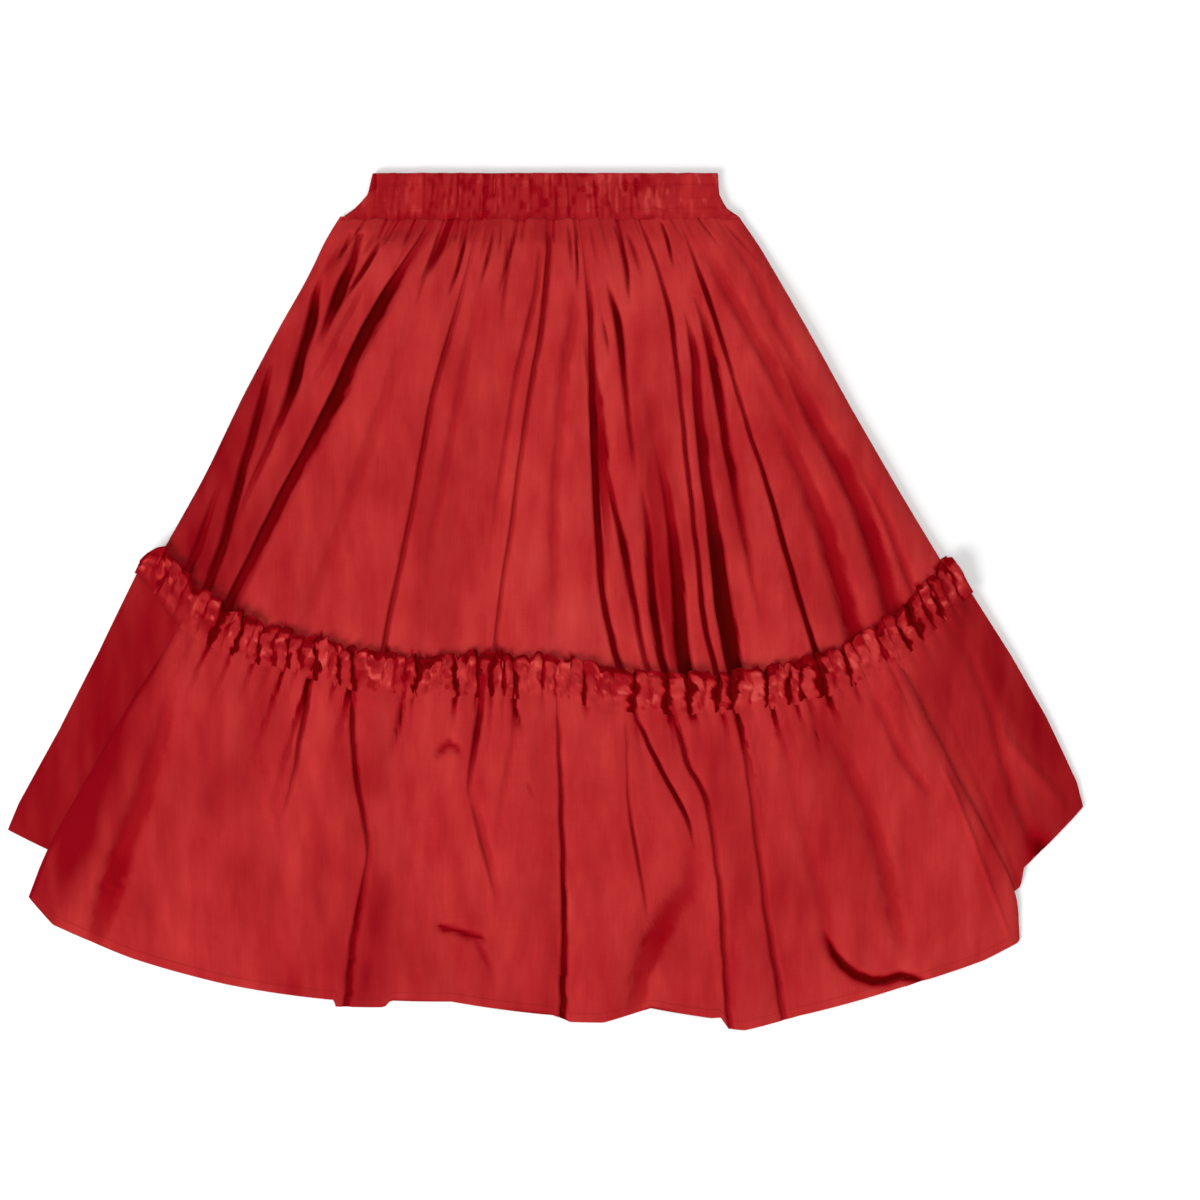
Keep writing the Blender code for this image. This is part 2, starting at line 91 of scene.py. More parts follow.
def stitchRadius(deg):  # the line's bends are rounded over a couple of degrees
    return sum(along(fan["stitchLine"], deg + step) for step in (-1.4, -0.7, 0, 0.7, 1.4)) / 5


def waistRadius(deg):
    return (fan["y"] - fan["waistSeam"]) / np.cos(np.radians(deg))


def mound(x, centre, reach):
    return np.exp(-(((x - centre) / reach) ** 2))


def sideShare(distance, rounding):  # how far a rounded side has risen, from 0 at its edge
    t = np.clip(distance / rounding, 0.0, 1.0)
    return np.sqrt(1 - (1 - t) ** 2)


def bent(path, at, column=1, reach=0.045):  # a table's column, its bends rounded
    rows = [row[0] for row in path]
    values = [row[column] for row in path]
    return sum(np.interp(at + step * reach, rows, values) for step in (-1, -0.5, 0, 0.5, 1)) / 5


def edgeLines(edges):  # a table of left and right edges as two guides
    return [(s, left) for s, left, right in edges], [(s, right) for s, left, right in edges]


def foldLines(folds):  # the line of each fold down the cloth, as a guide
    return {fold[0]: [(share, angle) for angle, share, size in fold[6]] for fold in folds}


def guidedColumns(guides, share, counts, pull=0.75):
    # column angles for each row: they run along the guides, and crowd next to them so that creases stay crisp
    lines = [bent(guide, share) for guide in guides]
    blocks = []
    for left, right, count in zip(lines, lines[1:], counts):
        t = np.arange(count) / count
        t = t + pull * (smooth(t) - t)
        blocks.append(left[:, None] + (right - left)[:, None] * t)
    return np.hstack(blocks + [lines[-1][:, None]])


foldShape = {
    "press": 0.88,  # how far a fold goes down of the depth that its row gives
    "wobble": (0.08, 0.6),  # unevenness of its size, as a share, and of its line, in mm
    "fray": 0.20,  # raggedness of the painted shade in its bed
    "darkestAt": 10.5,  # mm deep, where the painted shade is fullest
    "hollow": 0.20,  # the wide soft dip round a deep fold, as a share of its depth
    "hollowFrom": 4,  # mm deep
    "hollowReach": (20, 34),  # mm to the left and right
    "hollowMost": 3.2,  # mm
}


def foldSink(folds, deg, share, radius):
    # how deep the folds press the cloth, how much painted shade their creases get, and how far their lips lean over
    # them
    deg, share, radius = np.broadcast_arrays(deg, share, radius)
    sink, creaseShade, lean, hollow = (np.zeros(deg.shape) for i in range(4))
    (sizeWobble, lineWobble), (hollowLeft, hollowRight) = foldShape["wobble"], foldShape["hollowReach"]
    for name, left, right, depth, floor, lip, path in folds:
        near = (share >= path[0][1]) & (share <= path[-1][1])
        if not near.any():
            continue
        here = share[near]
        run = [(at, angle, size) for angle, at, size in path]
        salt = 7.3 * path[0][0] + 3.1 * depth
        centre, size = bent(run, here, 1), bent(run, here, 2, 0.02)
        size = size * (1 + sizeWobble * softNoise(here * 15, 0 * here, salt))
        off = np.radians(deg[near] - centre) * radius[near] + lineWobble * softNoise(here * 19, 0 * here, salt + 1)
        wide = floor * size**2
        past = np.where(off > 0, np.maximum(off - wide, 0), off)
        t = np.clip(np.where(past < 0, -past / left, past / right), 0, 1)
        press = 0.65 * smooth(1 - t) + 0.35 * (1 - t) ** 1.6
        bed = foldShape["press"] * depth * size * press
        sink[near] += np.sign(bed) * np.abs(bed) ** 3
        # painted shade in the fold's bed, with ragged edges
        frayed = foldShape["fray"] * softNoise(off / 3.0, here * 46, salt + 2) * (press > 0.02)
        dark = np.clip(size * max(depth, 0) / foldShape["darkestAt"], 0, 1) * smooth(1.4 * (press - 0.14 + frayed))
        creaseShade[near] = np.maximum(creaseShade[near], dark)
        lean[near] += lip * size * mound(off, -1.6, 1.4)
        if depth > foldShape["hollowFrom"]:
            reach = np.where(off > 0, hollowRight, hollowLeft)
            hollow[near] += foldShape["hollow"] * depth * size * smooth(1 - np.abs(off - wide / 2) / reach)
    return np.cbrt(sink) + np.minimum(hollow, foldShape["hollowMost"]), np.clip(creaseShade, 0, 1), lean


def paintedShadeAt(patches, deg, share):  # painted shade where the cloth turns from the light; below zero, painted light
    return sum(dark * mound(deg, x, xReach) * mound(share, y, yReach) for name, x, y, xReach, yReach, dark in patches)


def wear(width, length, salt):  # slow uneven tone along the cloth
    return 0.17 * softNoise(width / 21, length / 64, salt) + 0.11 * softNoise(width / 8.5, length / 27, salt + 1)


def dentSink(dents, x, y):
    # short creases that run across the cloth: each a bent line of points in mm, its reach and its depth
    sink, creaseShade = np.zeros(x.shape), np.zeros(x.shape)
    for name, reach, depth, path in dents:
        best, size = np.full(x.shape, 1e9), np.zeros(x.shape)
        for (x1, y1, s1), (x2, y2, s2) in zip(path, path[1:]):
            dx, dy = x2 - x1, y2 - y1
            t = np.clip(((x - x1) * dx + (y - y1) * dy) / (dx**2 + dy**2), 0, 1)
            distance = np.hypot(x - x1 - t * dx, y - y1 - t * dy)
            size = np.where(distance < best, s1 + (s2 - s1) * t, size)
            best = np.minimum(best, distance)
        press = (1 - np.clip(best / reach, 0, 1)) ** 1.6
        sink = np.maximum(sink, depth * size * press) if depth > 0 else sink + depth * size * smooth(press)
        # painted shade along each of these creases
        creaseShade = np.maximum(creaseShade, smooth(1.5 * size * press) * max(depth, 0) / 6.5)
    return sink, np.clip(creaseShade, 0, 1)


# Making a piece
def putInScene(name, data):
    thing = bpy.data.objects.new(name, data)
    bpy.context.collection.objects.link(thing)
    return thing


def onCloth(width, length, shift, layer):  # where each point lies on the flat cloth, which the weave follows
    return np.stack([0.001 * width + shift, 0.001 * length, 0 * width + layer], axis=-1)


def clothShell(name, points, place, creaseShade, shade, wall, facesUp, material):
    # one sheet of cloth with its thickness: the outside, the inside and the cut edges between them
    rows, columns = points.shape[:2]
    normal = np.cross(np.gradient(points, axis=1), np.gradient(points, axis=0))
    normal /= np.linalg.norm(normal, axis=-1, keepdims=True) + 1e-12
    if (normal[..., 2].sum() > 0) != facesUp:
        normal = -normal
    inside = points - normal * (0.001 * wall)
    index = np.arange(rows * columns).reshape(rows, columns)
    quad = np.stack([index[:-1, :-1], index[1:, :-1], index[1:, 1:], index[:-1, 1:]], axis=-1).reshape(-1, 4)
    flat = points.reshape(-1, 3)
    facing = np.cross(flat[quad[:, 2]] - flat[quad[:, 0]], flat[quad[:, 3]] - flat[quad[:, 1]])
    if (facing * normal.reshape(-1, 3)[quad[:, 0]]).sum() < 0:
        quad = quad[:, ::-1]
    turned = quad[:, ::-1] + rows * columns
    ring = np.concatenate([index[0, :-1], index[:-1, -1], index[-1, :0:-1], index[:0:-1, 0]])
    after = np.roll(ring, -1)
    rim = np.stack([ring, after, after + rows * columns, ring + rows * columns], axis=-1)
    if ((quad == ring[0]) & (np.roll(quad, -1, axis=1) == after[0])).any():
        rim = rim[:, ::-1]  # against the way the outside's own edges run
    mesh = bpy.data.meshes.new(name)
    corners = np.concatenate([flat, inside.reshape(-1, 3)])
    mesh.from_pydata(corners.tolist(), [], np.concatenate([quad, turned, rim]).tolist())
    for label, kind, field, values in (
        ("clothPlace", "FLOAT_VECTOR", "vector", place),
        ("paintedCreaseShade", "FLOAT", "value", np.clip(creaseShade, 0, 1)),
        ("paintedShadeAndWear", "FLOAT", "value", shade),
    ):
        values = np.asarray(values, float) + np.zeros(points.shape if kind == "FLOAT_VECTOR" else points.shape[:2])
        both = np.concatenate([values.reshape(rows * columns, -1)] * 2).ravel()
        mesh.attributes.new(label, kind, "POINT").data.foreach_set(field, both.astype(np.float32))
    mesh.materials.append(material)
    mesh.shade_smooth()
    mesh.set_sharp_from_angle(angle=math.radians(fan["sharpEdge"]))
    mesh.validate()
    return putInScene(name, mesh)


def dress(piece, node):
    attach(piece, "root")
    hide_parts(node)
    print("skirt:", piece.name, len(piece.data.polygons), "faces")


def pointAt(line, run, s):  # the point a run of s along a line
    return np.array([np.interp(s, run, line[:, axis]) for axis in range(3)])


def stitchRow(name, lines, material, length, gap, thick):
    # short thread capsules along each line of points, in metres
    sides, rings = 6, ((-0.5, 0.35), (-0.36, 1.0), (0.36, 1.0), (0.5, 0.35))  # place along it and thickness
    points, faces = [], []
    for line in lines:
        run = np.concatenate([[0], np.cumsum(np.linalg.norm(np.diff(line, axis=0), axis=1))])
        starts = np.arange(0.001 * length, run[-1] - 0.001 * length, 0.001 * (length + gap))
        for i, start in enumerate(starts):
            centre = start + 0.0001 * uneven(i, -2.0, 2.0)
            a, b = (pointAt(line, run, centre + end * 0.0005 * length) for end in (-1, 1))
            middle, axis = (a + b) / 2, b - a
            axis /= np.linalg.norm(axis) + 1e-12
            aside = np.cross(axis, (0, 0, 1))
            up = np.cross(aside, axis)
            first = len(points)
            for reach, size in rings:
                for side in range(sides):
                    turn = 2 * math.pi * side / sides
                    out = aside * math.cos(turn) + up * math.sin(turn)
                    points.append(middle + axis * reach * 0.001 * length + out * size * 0.0005 * thick)
            last = first + (len(rings) - 1) * sides
            for row in range(first, last, sides):
                for c in range(sides):
                    d = (c + 1) % sides
                    faces.append([row + c, row + d, row + sides + d, row + sides + c])
            faces.append([first + c for c in reversed(range(sides))])
            faces.append([last + c for c in range(sides)])
    mesh = bpy.data.meshes.new(name)
    mesh.from_pydata([tuple(p) for p in points], [], faces)
    mesh.materials.append(material)
    mesh.shade_smooth()
    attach(putInScene(name, mesh), "root")
    print("skirt:", name, len(faces), "faces")


# Cloth finishes
class Wire:  # a shader socket that takes sums
    def __init__(self, tree, socket=None):
        self.tree, self.socket = tree, socket

    def node(self, kind, settings=None, sockets=None, out=0):
        new = self.tree.nodes.new(kind)
        for key, value in (settings or {}).items():
            setattr(new, key, value)
        for key, value in (sockets or {}).items():
            if isinstance(value, Wire):
                self.tree.links.new(value.socket, new.inputs[key])
            else:
                new.inputs[key].default_value = value
        return Wire(self.tree, new.outputs[out])

    def sum(self, operation, first, second=0.0):
        return self.node("ShaderNodeMath", {"operation": operation}, {0: first, 1: second})

    def __add__(self, other):
        return self.sum("ADD", self, other)

    def __radd__(self, other):
        return self.sum("ADD", other, self)

    def __sub__(self, other):
        return self.sum("SUBTRACT", self, other)

    def __rsub__(self, other):
        return self.sum("SUBTRACT", other, self)

    def __mul__(self, other):
        return self.sum("MULTIPLY", self, other)

    def __rmul__(self, other):
        return self.sum("MULTIPLY", other, self)

    def sine(self):
        return self.sum("SINE", self)

    def between(self, low, high):
        return self.sum("MINIMUM", self.sum("MAXIMUM", self, low), high)

    def mixed(self, low, high):  # low to high, as this goes from 0 to 1
        return self.node("ShaderNodeMix", {"data_type": "RGBA"}, {0: self, 6: low, 7: high}, out=2)

    def feed(self, shader, name):
        self.tree.links.new(self.socket, shader.inputs[name])


# Painted light: the shaded colour and the two crease colours paint shade into the cloth. The brightest colour paints
# highlights, and also random pale spots on the casing. Lit and worn differ at random.
clothLook = {
    "paintedHighlightAndPale": (0.605, 0.0700, 0.0600, 1),
    "lit": (0.518, 0.0370, 0.0340, 1),
    "worn": (0.376, 0.0112, 0.0155, 1),
    "shaded": (0.222, 0.0010, 0.0050, 1),
    "creaseShade": (0.262, 0.0006, 0.0050, 1),
    "deepestCreaseShade": (0.100, 0.0000, 0.0000, 1),
    "threadPitch": 0.55,  # mm
    "roughness": 0.56,
    "sheen": 0.004,
    "sheenTint": (1.0, 0.45, 0.42, 1),
    "gloss": 0.012,
    "weaveBump": 0.16,
    "crumpleBump": 0.30,
}


def startFinish(name, fixed):  # a material with the values that are the same all over
    material = bpy.data.materials.new(name)
    material.use_nodes = True
    shader = material.node_tree.nodes["Principled BSDF"]
    for socket, value in fixed.items():
        shader.inputs[socket].default_value = value
    return material, shader, Wire(material.node_tree)


def clothFinish(name, look):
    material, shader, wire = startFinish(name, {
        "Sheen Weight": look["sheen"],
        "Sheen Roughness": 0.45,
        "Sheen Tint": look["sheenTint"],
        "Specular IOR Level": look["gloss"],
    })
    place, creaseShade, shade = (
        wire.node("ShaderNodeAttribute", {"attribute_name": label}, out=out)
        for label, out in (("clothPlace", 1), ("paintedCreaseShade", 2), ("paintedShadeAndWear", 2))
    )
    weft, warp = (wire.node("ShaderNodeSeparateXYZ", None, {0: place}, out) for out in (0, 1))
    turns = 2 * math.pi * 1000 / look["threadPitch"]
    overUnder = (weft * turns).sine() * (warp * turns).sine()

    def cloud(stretch, scale, detail=2.0):  # noise drawn out along the cloth's length or width
        spot = wire.node("ShaderNodeVectorMath", {"operation": "MULTIPLY"}, {0: place, 1: stretch})
        sockets = {"Vector": spot, "Scale": scale, "Detail": detail, "Roughness": 0.55}
        return wire.node("ShaderNodeTexNoise", {"noise_dimensions": "3D"}, sockets)

    slubs = cloud((1.0, 0.03, 1.0), 900.0)
    weftSlubs = cloud((0.03, 1.0, 1.0), 800.0)
    streaks = cloud((1.0, 0.22, 1.0), 48.0, 3.0)
    mottle = cloud((1.0, 0.6, 1.0), 26.0, 3.0)
    crumple = cloud((1.0, 0.45, 1.0), 75.0, 3.0)
    tone = (streaks * 0.45 + mottle * 0.45 + slubs * 0.14 + weftSlubs * 0.10 - 0.07).between(0.0, 1.0)
    tone = ((tone - 0.5) * 2.6 + 0.5).between(0.0, 1.0)
    colour = tone.mixed(look["worn"], look["lit"])
    # painted highlight where the shade value is below zero, painted shade where it is above, with random wear mixed
    # in
    colour = (0.0 - shade).between(0.0, 1.0).mixed(colour, look["paintedHighlightAndPale"])
    colour = shade.mixed(colour, look["shaded"])
    # painted shade in creases and gaps, darkest where they are deepest
    colour = (creaseShade * 1.5 + (slubs - 0.5) * creaseShade * 0.3).between(0.0, 1.0).mixed(colour, look["creaseShade"])
    colour = ((creaseShade - 0.60) * 2.7).between(0.0, 1.0).mixed(colour, look["deepestCreaseShade"])
    colour.feed(shader, "Base Color")
    rough = look["roughness"] + (mottle - 0.5) * 0.16 + overUnder * 0.03
    rough.between(0.3, 0.9).feed(shader, "Roughness")
    rise = overUnder * 0.5 + slubs * 0.7 + weftSlubs * 0.6
    weave = wire.node("ShaderNodeBump", None, {"Height": rise, "Strength": look["weaveBump"], "Distance": 0.0003})
    sockets = {"Height": crumple, "Strength": look["crumpleBump"], "Distance": 0.002, "Normal": weave}
    wire.node("ShaderNodeBump", None, sockets).feed(shader, "Normal")
    return material


def threadFinish(name, colour):
    material, shader, wire = startFinish(name, {"Roughness": 0.6, "Specular IOR Level": 0.08})
    spot = wire.node("ShaderNodeTexCoord", out=3)
    twist = wire.node("ShaderNodeTexNoise", None, {"Vector": spot, "Scale": 2400.0, "Detail": 2.0})
    twist.mixed(tuple(0.6 * c for c in colour[:3]) + (1,), colour).feed(shader, "Base Color")
    wire.node("ShaderNodeBump", None, {"Height": twist, "Strength": 0.5, "Distance": 0.0002}).feed(shader, "Normal")
    return material


skirtCloth = clothFinish("skirtCloth", clothLook)
# painted shade: the casing has a darker copy of the skirt cloth, for the shade between its tight gathers
casingShadedLook = dict(clothLook, lit=(0.475, 0.0250, 0.0260, 1), worn=(0.290, 0.0045, 0.0085, 1))
casingShadedCloth = clothFinish("casingShadedCloth", casingShadedLook)
redThread = threadFinish("redThread", (0.44, 0.014, 0.017, 1))

# Upper tier
upper = {
    "rows": 94,
    "columns": [86, 80, 74, 60, 74, 16, 44, 82],
    "rounding": 34.0,
    "edges": [(0.00, -32.3, 33.4), (0.06, -32.3, 33.6), (0.16, -31.6, 33.3), (0.30, -31.4, 32.9), (0.50, -30.9, 32.3),
              (0.70, -30.2, 32.0), (1.00, -30.0, 31.8)],
    "loft": [(0.00, 7.4), (0.012, 8.0), (0.05, 12.0), (0.12, 15.6), (0.30, 17.2), (0.60, 17.0), (0.85, 17.0),
             (1.00, 17.6)],
    "edgeHeight": [(0.00, 4.4), (0.05, 3.4), (0.80, 3.4), (0.89, 5.4), (1.00, 6.0)],
    "rolling": 1.1,  # mm of slow swell in the cloth
    "crumple": 0.28,
    "gathers": 32,
    "lowest": 4.6,  # mm, where the folds stop above the back
    "grip": 0.65,  # how far the seam below the frill holds the folds shut
    "tuck": (3.0, 0.7),  # mm under the casing, and down
}
# Each fold: its reach to the left and right, depth, the width of its floor and how far its lip leans over it, in mm,
# then its line down the cloth as (angle, share of the way down, size).
upperFolds = [
    ("leftDeep", 2.4, 12, 11, 8, 1, [(-18.35, 0, 0.4), (-19.95, 0.08, 0.5), (-20.75, 0.12, 0.62),
     (-21.55, 0.16, 0.86), (-22.05, 0.2, 0.92), (-22.5, 0.28, 0.95), (-22.6, 0.39, 0.9), (-22.9, 0.48, 0.9),
     (-23.2, 0.58, 0.85), (-23.65, 0.68, 0.8), (-23.75, 0.8, 0.75), (-23.95, 0.9, 0.7), (-24.3, 1, 0.65)]),
    ("leftNear", 3.5, 6, 9, 4, 0, [(-15.2, 0, 0.8), (-15.7, 0.045, 0.95), (-16.4, 0.08, 1), (-16.7, 0.115, 0.6),
     (-16.8, 0.14, 0)]),
    ("leftShoulder", 3.5, 5, 11, 6.5, 0, [(-28.6, 0.035, 0.4), (-27.5, 0.08, 0.6), (-27.3, 0.12, 0.75),
     (-27.5, 0.16, 0.98), (-27.4, 0.2, 1.05), (-26.85, 0.235, 0.8), (-26.3, 0.285, 0.35), (-26.15, 0.31, 0)]),
    ("leftTick", 2.6, 3, 8.5, 2, 0, [(-24.9, 0.045, 0), (-25, 0.065, 0.9), (-25.3, 0.12, 1), (-25.6, 0.15, 0.85),
     (-25.9, 0.18, 0.5), (-26.1, 0.2, 0)]),
    ("leftDash", 2.6, 3, 8, 1.5, 0, [(-29.5, 0.04, 0), (-29.35, 0.06, 0.9), (-29.15, 0.09, 1), (-29.1, 0.11, 0)]),
    ("leftSideHigh", 3.5, 5, 11, 6, 0, [(-30.1, 0.16, 0.1), (-29.7, 0.2, 0.6), (-29.1, 0.24, 0.9),
     (-28.1, 0.32, 0.95), (-27.1, 0.41, 0.95), (-26.35, 0.5, 0.6), (-26.1, 0.68, 0.35), (-26.05, 0.74, 0)]),
    ("leftSideLow", 3.5, 5, 10, 5, 0, [(-30.05, 0.4, 0.2), (-29.35, 0.46, 0.85), (-28.35, 0.55, 0.9),
     (-27.35, 0.66, 0.95), (-26.15, 0.79, 0.95), (-25.95, 0.84, 0.85), (-25.65, 0.95, 0.45)]),
    ("leftSideLast", 5, 5, 7, 2, 0, [(-28.6, 0.66, 0), (-28.4, 0.75, 0.6), (-27.9, 0.8, 1), (-27.7, 0.86, 1),
     (-27.5, 0.95, 0.5)]),
    ("leftFaintHigh", 5, 6, 3.2, 0, 0, [(-24.2, 0.12, 0), (-24.4, 0.2, 1), (-24.8, 0.34, 0.8), (-24.9, 0.42, 0)]),
    ("leftLong", 2.8, 5, 5.5, 1.8, 0.4, [(-10.15, 0, 0.2), (-10.55, 0.14, 0.4), (-11.45, 0.26, 0.85),
     (-11.9, 0.37, 0.85), (-11.8, 0.47, 0.9), (-11.6, 0.59, 0.8), (-11.65, 0.79, 0.85), (-11.55, 1, 0.85)]),
    ("leftFaint", 8, 8, 2.8, 0, 0, [(-8, 0.1, 0), (-8.6, 0.3, 1), (-9.2, 0.6, 0.8), (-9.3, 0.85, 0)]),
    ("leftBroad", 12, 14, 2.4, 0, 0, [(-16.5, 0.12, 0), (-17, 0.4, 1), (-17.6, 0.75, 1), (-17.8, 1, 0.5)]),
    ("middleLong", 2.6, 5, 7, 3, 0.4, [(2.5, 0, 0.45), (2, 0.08, 0.8), (0.8, 0.22, 0.85), (-0.3, 0.32, 0.7),
     (-1.25, 0.44, 0.55), (-1.95, 0.58, 0.5), (-2.75, 0.75, 0.5), (-3.4, 1, 0.45)]),
    ("middleSoft", 4, 6, 5, 0, 0, [(0.85, 0.06, 0.2), (0.35, 0.13, 0.8), (-0.35, 0.19, 0.85), (-1.6, 0.27, 0.85),
     (-2.6, 0.36, 0.7), (-3.5, 0.55, 0.45), (-4.25, 0.75, 0)]),
    ("middleBroad", 9, 10, 4.2, 2, 0, [(6, 0.14, 0), (5.5, 0.19, 0.65), (3.95, 0.28, 0.8), (2.85, 0.38, 0.75),
     (1.95, 0.55, 0.6), (1.55, 0.8, 0.4), (1.3, 1, 0.15)]),
    ("centreLong", 2.6, 6, 8.6, 3.4, 0.5, [(8.25, 0, 0.15), (7.95, 0.12, 0.25), (7.7, 0.17, 0.7), (6.95, 0.28, 0.8),
     (6.2, 0.4, 0.95), (5.85, 0.5, 1.05), (5.4, 0.73, 0.9), (5.7, 0.85, 0.85), (6.5, 0.95, 0.85), (6.7, 1, 0.85)]),
    ("centreWide", 4, 8, 7.4, 7, 0, [(7, 0.22, 0), (6.7, 0.3, 0.65), (6.65, 0.38, 0.95), (6.6, 0.46, 0.95),
     (6.45, 0.55, 0.85), (6.4, 0.62, 0.5), (6.5, 0.68, 0)]),
    ("centreShort", 3, 4, 8.6, 3, 0, [(10.9, 0.13, 0), (11.15, 0.18, 1), (11.15, 0.22, 1), (10.75, 0.28, 0.9),
     (10.35, 0.38, 0.7), (10.15, 0.46, 0.45), (9.95, 0.52, 0)]),
    ("centreDot", 2.5, 2.5, 6, 0.5, 0, [(9.3, 0.2, 0), (9.4, 0.235, 1), (9.4, 0.27, 0)]),
    ("centreLow", 3, 5, 8, 2.6, 0, [(6.8, 0.44, 0), (7.15, 0.52, 0.75), (7.7, 0.66, 1.05), (8, 0.78, 1),
     (8.25, 0.89, 0.75), (8.4, 1, 0.65)]),
    ("rightSoftLow", 3.5, 5, 10, 4, 0, [(10.55, 0.54, 0.2), (10.25, 0.62, 0.65), (9.55, 0.74, 0.95), (9.35, 0.84, 1),
     (9.6, 1, 0.9)]),
    ("rightDarkLow", 4.5, 6, 10, 8, 0, [(12.65, 0.42, 0.2), (12.5, 0.54, 0.6), (12.1, 0.64, 0.78), (11.25, 0.78, 1),
     (10.7, 0.9, 1.05), (10.75, 1, 1.05)]),
    ("rightThin", 2.6, 4, 7, 1.8, 0.4, [(18.45, 0, 0.2), (18.65, 0.06, 0.55), (18.7, 0.13, 0.6), (18.2, 0.2, 1),
     (17.3, 0.28, 0.85), (16.55, 0.36, 0.7), (15.7, 0.43, 0.8), (14.7, 0.56, 0.95), (14.15, 0.65, 0.95),
     (13.25, 0.79, 1.05), (13.05, 1, 1.05)]),
    ("rightDeep", 2.6, 4.5, 10.5, 12, 0.6, [(21.4, 0, 0), (20.3, 0.2, 0), (19.7, 0.26, 0.6), (17.8, 0.37, 0.72),
     (16.65, 0.48, 0.74), (15.85, 0.59, 0.84), (15.05, 0.69, 0.93), (14.7, 0.75, 0.98), (14.3, 0.82, 1.02),
     (14.15, 0.91, 1.02), (14.1, 1, 1)]),
    ("rightInner", 3, 7, 8.4, 3.4, 0, [(22.35, 0.17, 0), (21.75, 0.24, 0.8), (20.9, 0.31, 1), (20, 0.39, 1),
     (19.05, 0.51, 0.95), (18.55, 0.6, 0.75), (18, 0.7, 0.5), (17.5, 0.84, 0)]),
    ("rightLong", 2.6, 4, 8.6, 2.4, 0.5, [(24.8, 0.02, 0), (24.5, 0.07, 0.25), (23.6, 0.15, 0.9), (23.45, 0.22, 0.85),
     (23.1, 0.28, 0.7), (22.65, 0.36, 0.5), (22.1, 0.43, 0.55), (21.9, 0.51, 0.7), (21.6, 0.6, 0.9), (21, 0.72, 0.95),
     (20.8, 0.81, 1), (20.15, 1, 1.05)]),
    ("rightOuter", 12, 13, 6, 5, 0, [(25.2, 0.34, 0), (25.3, 0.5, 0.5), (24.9, 0.62, 0.9), (24.45, 0.74, 1),
     (23.65, 0.87, 1.2), (23.05, 1, 1.1)]),
    ("rightSide", 9, 11, 6.6, 8, 0, [(28.7, 0.28, 0), (28.4, 0.42, 0.6), (28.3, 0.55, 0.85), (28.2, 0.67, 0.95),
     (27.6, 0.78, 1.05), (26.75, 0.88, 1.05), (26.05, 1, 0.75)]),
    ("rightSideFaint", 7, 8, 3.6, 0, 0, [(30.1, 0.6, 0), (29.8, 0.74, 0.9), (29, 0.89, 1.1), (28.35, 1, 0.55)]),
    ("centreBroad", 15, 15, 3.6, 4, 0, [(13, 0.32, 0), (12.9, 0.42, 0.8), (12, 0.5, 1), (11, 0.6, 1),
     (10.7, 0.75, 0.9), (10.5, 1, 0.5)]),
    ("rightHigh", 10, 12, 4, 3, 0, [(25.9, 0.04, 0), (26.2, 0.11, 0.7), (26.6, 0.2, 0.9), (26.8, 0.32, 1),
     (26.9, 0.4, 0.8), (26.4, 0.54, 0)]),
    ("rightEdge", 9, 10, 2.8, 0, 0, [(30.4, 0.02, 0), (30.9, 0.1, 0.8), (30.4, 0.2, 1), (29.8, 0.32, 0.8),
     (29.4, 0.44, 0)]),
    ("pinch1", 2.6, 3, 8.5, 0.5, 0, [(-25.9, 0, 0.8), (-25.5, 0.025, 1), (-25.1, 0.055, 0)]),
    ("pinch2", 2.6, 3, 8, 0.5, 0, [(-23.5, 0, 0.7), (-23.9, 0.03, 1), (-24.3, 0.065, 0)]),
    ("pinch3", 2.6, 3, 8, 0.5, 0, [(-21.4, 0, 0.8), (-21.1, 0.03, 1), (-20.9, 0.06, 0)]),
    ("pinch4", 2.4, 3, 8, 0.5, 0, [(-14.2, 0, 0.8), (-13.4, 0.03, 0.8), (-13.2, 0.05, 0)]),
    ("pinch5", 2.4, 3, 7, 0.8, 0, [(-12.1, 0, 0.7), (-11.9, 0.07, 0.9), (-12.3, 0.13, 0.9), (-12.4, 0.16, 0)]),
    ("pinch6", 2.4, 3, 6, 0.8, 0, [(-7.2, 0.02, 0), (-7.4, 0.05, 0.8), (-8.1, 0.11, 1), (-8.3, 0.14, 0)]),
    ("pinch7", 2.4, 3, 6.5, 0.8, 0, [(-3.2, 0, 0.8), (-3.8, 0.05, 1), (-5, 0.12, 0.7), (-5.4, 0.16, 0)]),
    ("pinch8", 2.4, 2.6, 7.5, 0.5, 0, [(3.3, 0, 0.8), (3.2, 0.03, 0.9), (3.1, 0.05, 0)]),
    ("pinch9", 2.4, 2.4, 5.6, 0, 0, [(7.4, 0, 0.5), (7.1, 0.04, 0.8), (6.6, 0.1, 0.9), (6.3, 0.15, 0)]),
    ("pinch10", 2.4, 3, 7.5, 2, 0, [(14.9, 0, 0.7), (14.4, 0.05, 0.9), (14.1, 0.09, 1), (13.7, 0.125, 0.9),
     (13.4, 0.17, 0)]),
    ("pinch11", 2.4, 2.6, 6.5, 0.6, 0, [(22.2, 0.01, 0.3), (21.6, 0.045, 1), (21.2, 0.07, 0.9), (21, 0.1, 0)]),
]
upperEdges = edgeLines(upper["edges"])
guideNames = ("leftDeep", "leftLong", "middleLong", "centreLong", "rightThin", "rightDeep", "rightLong")
upperGuides = [upperEdges[0], *(foldLines(upperFolds)[name] for name in guideNames), upperEdges[1]]


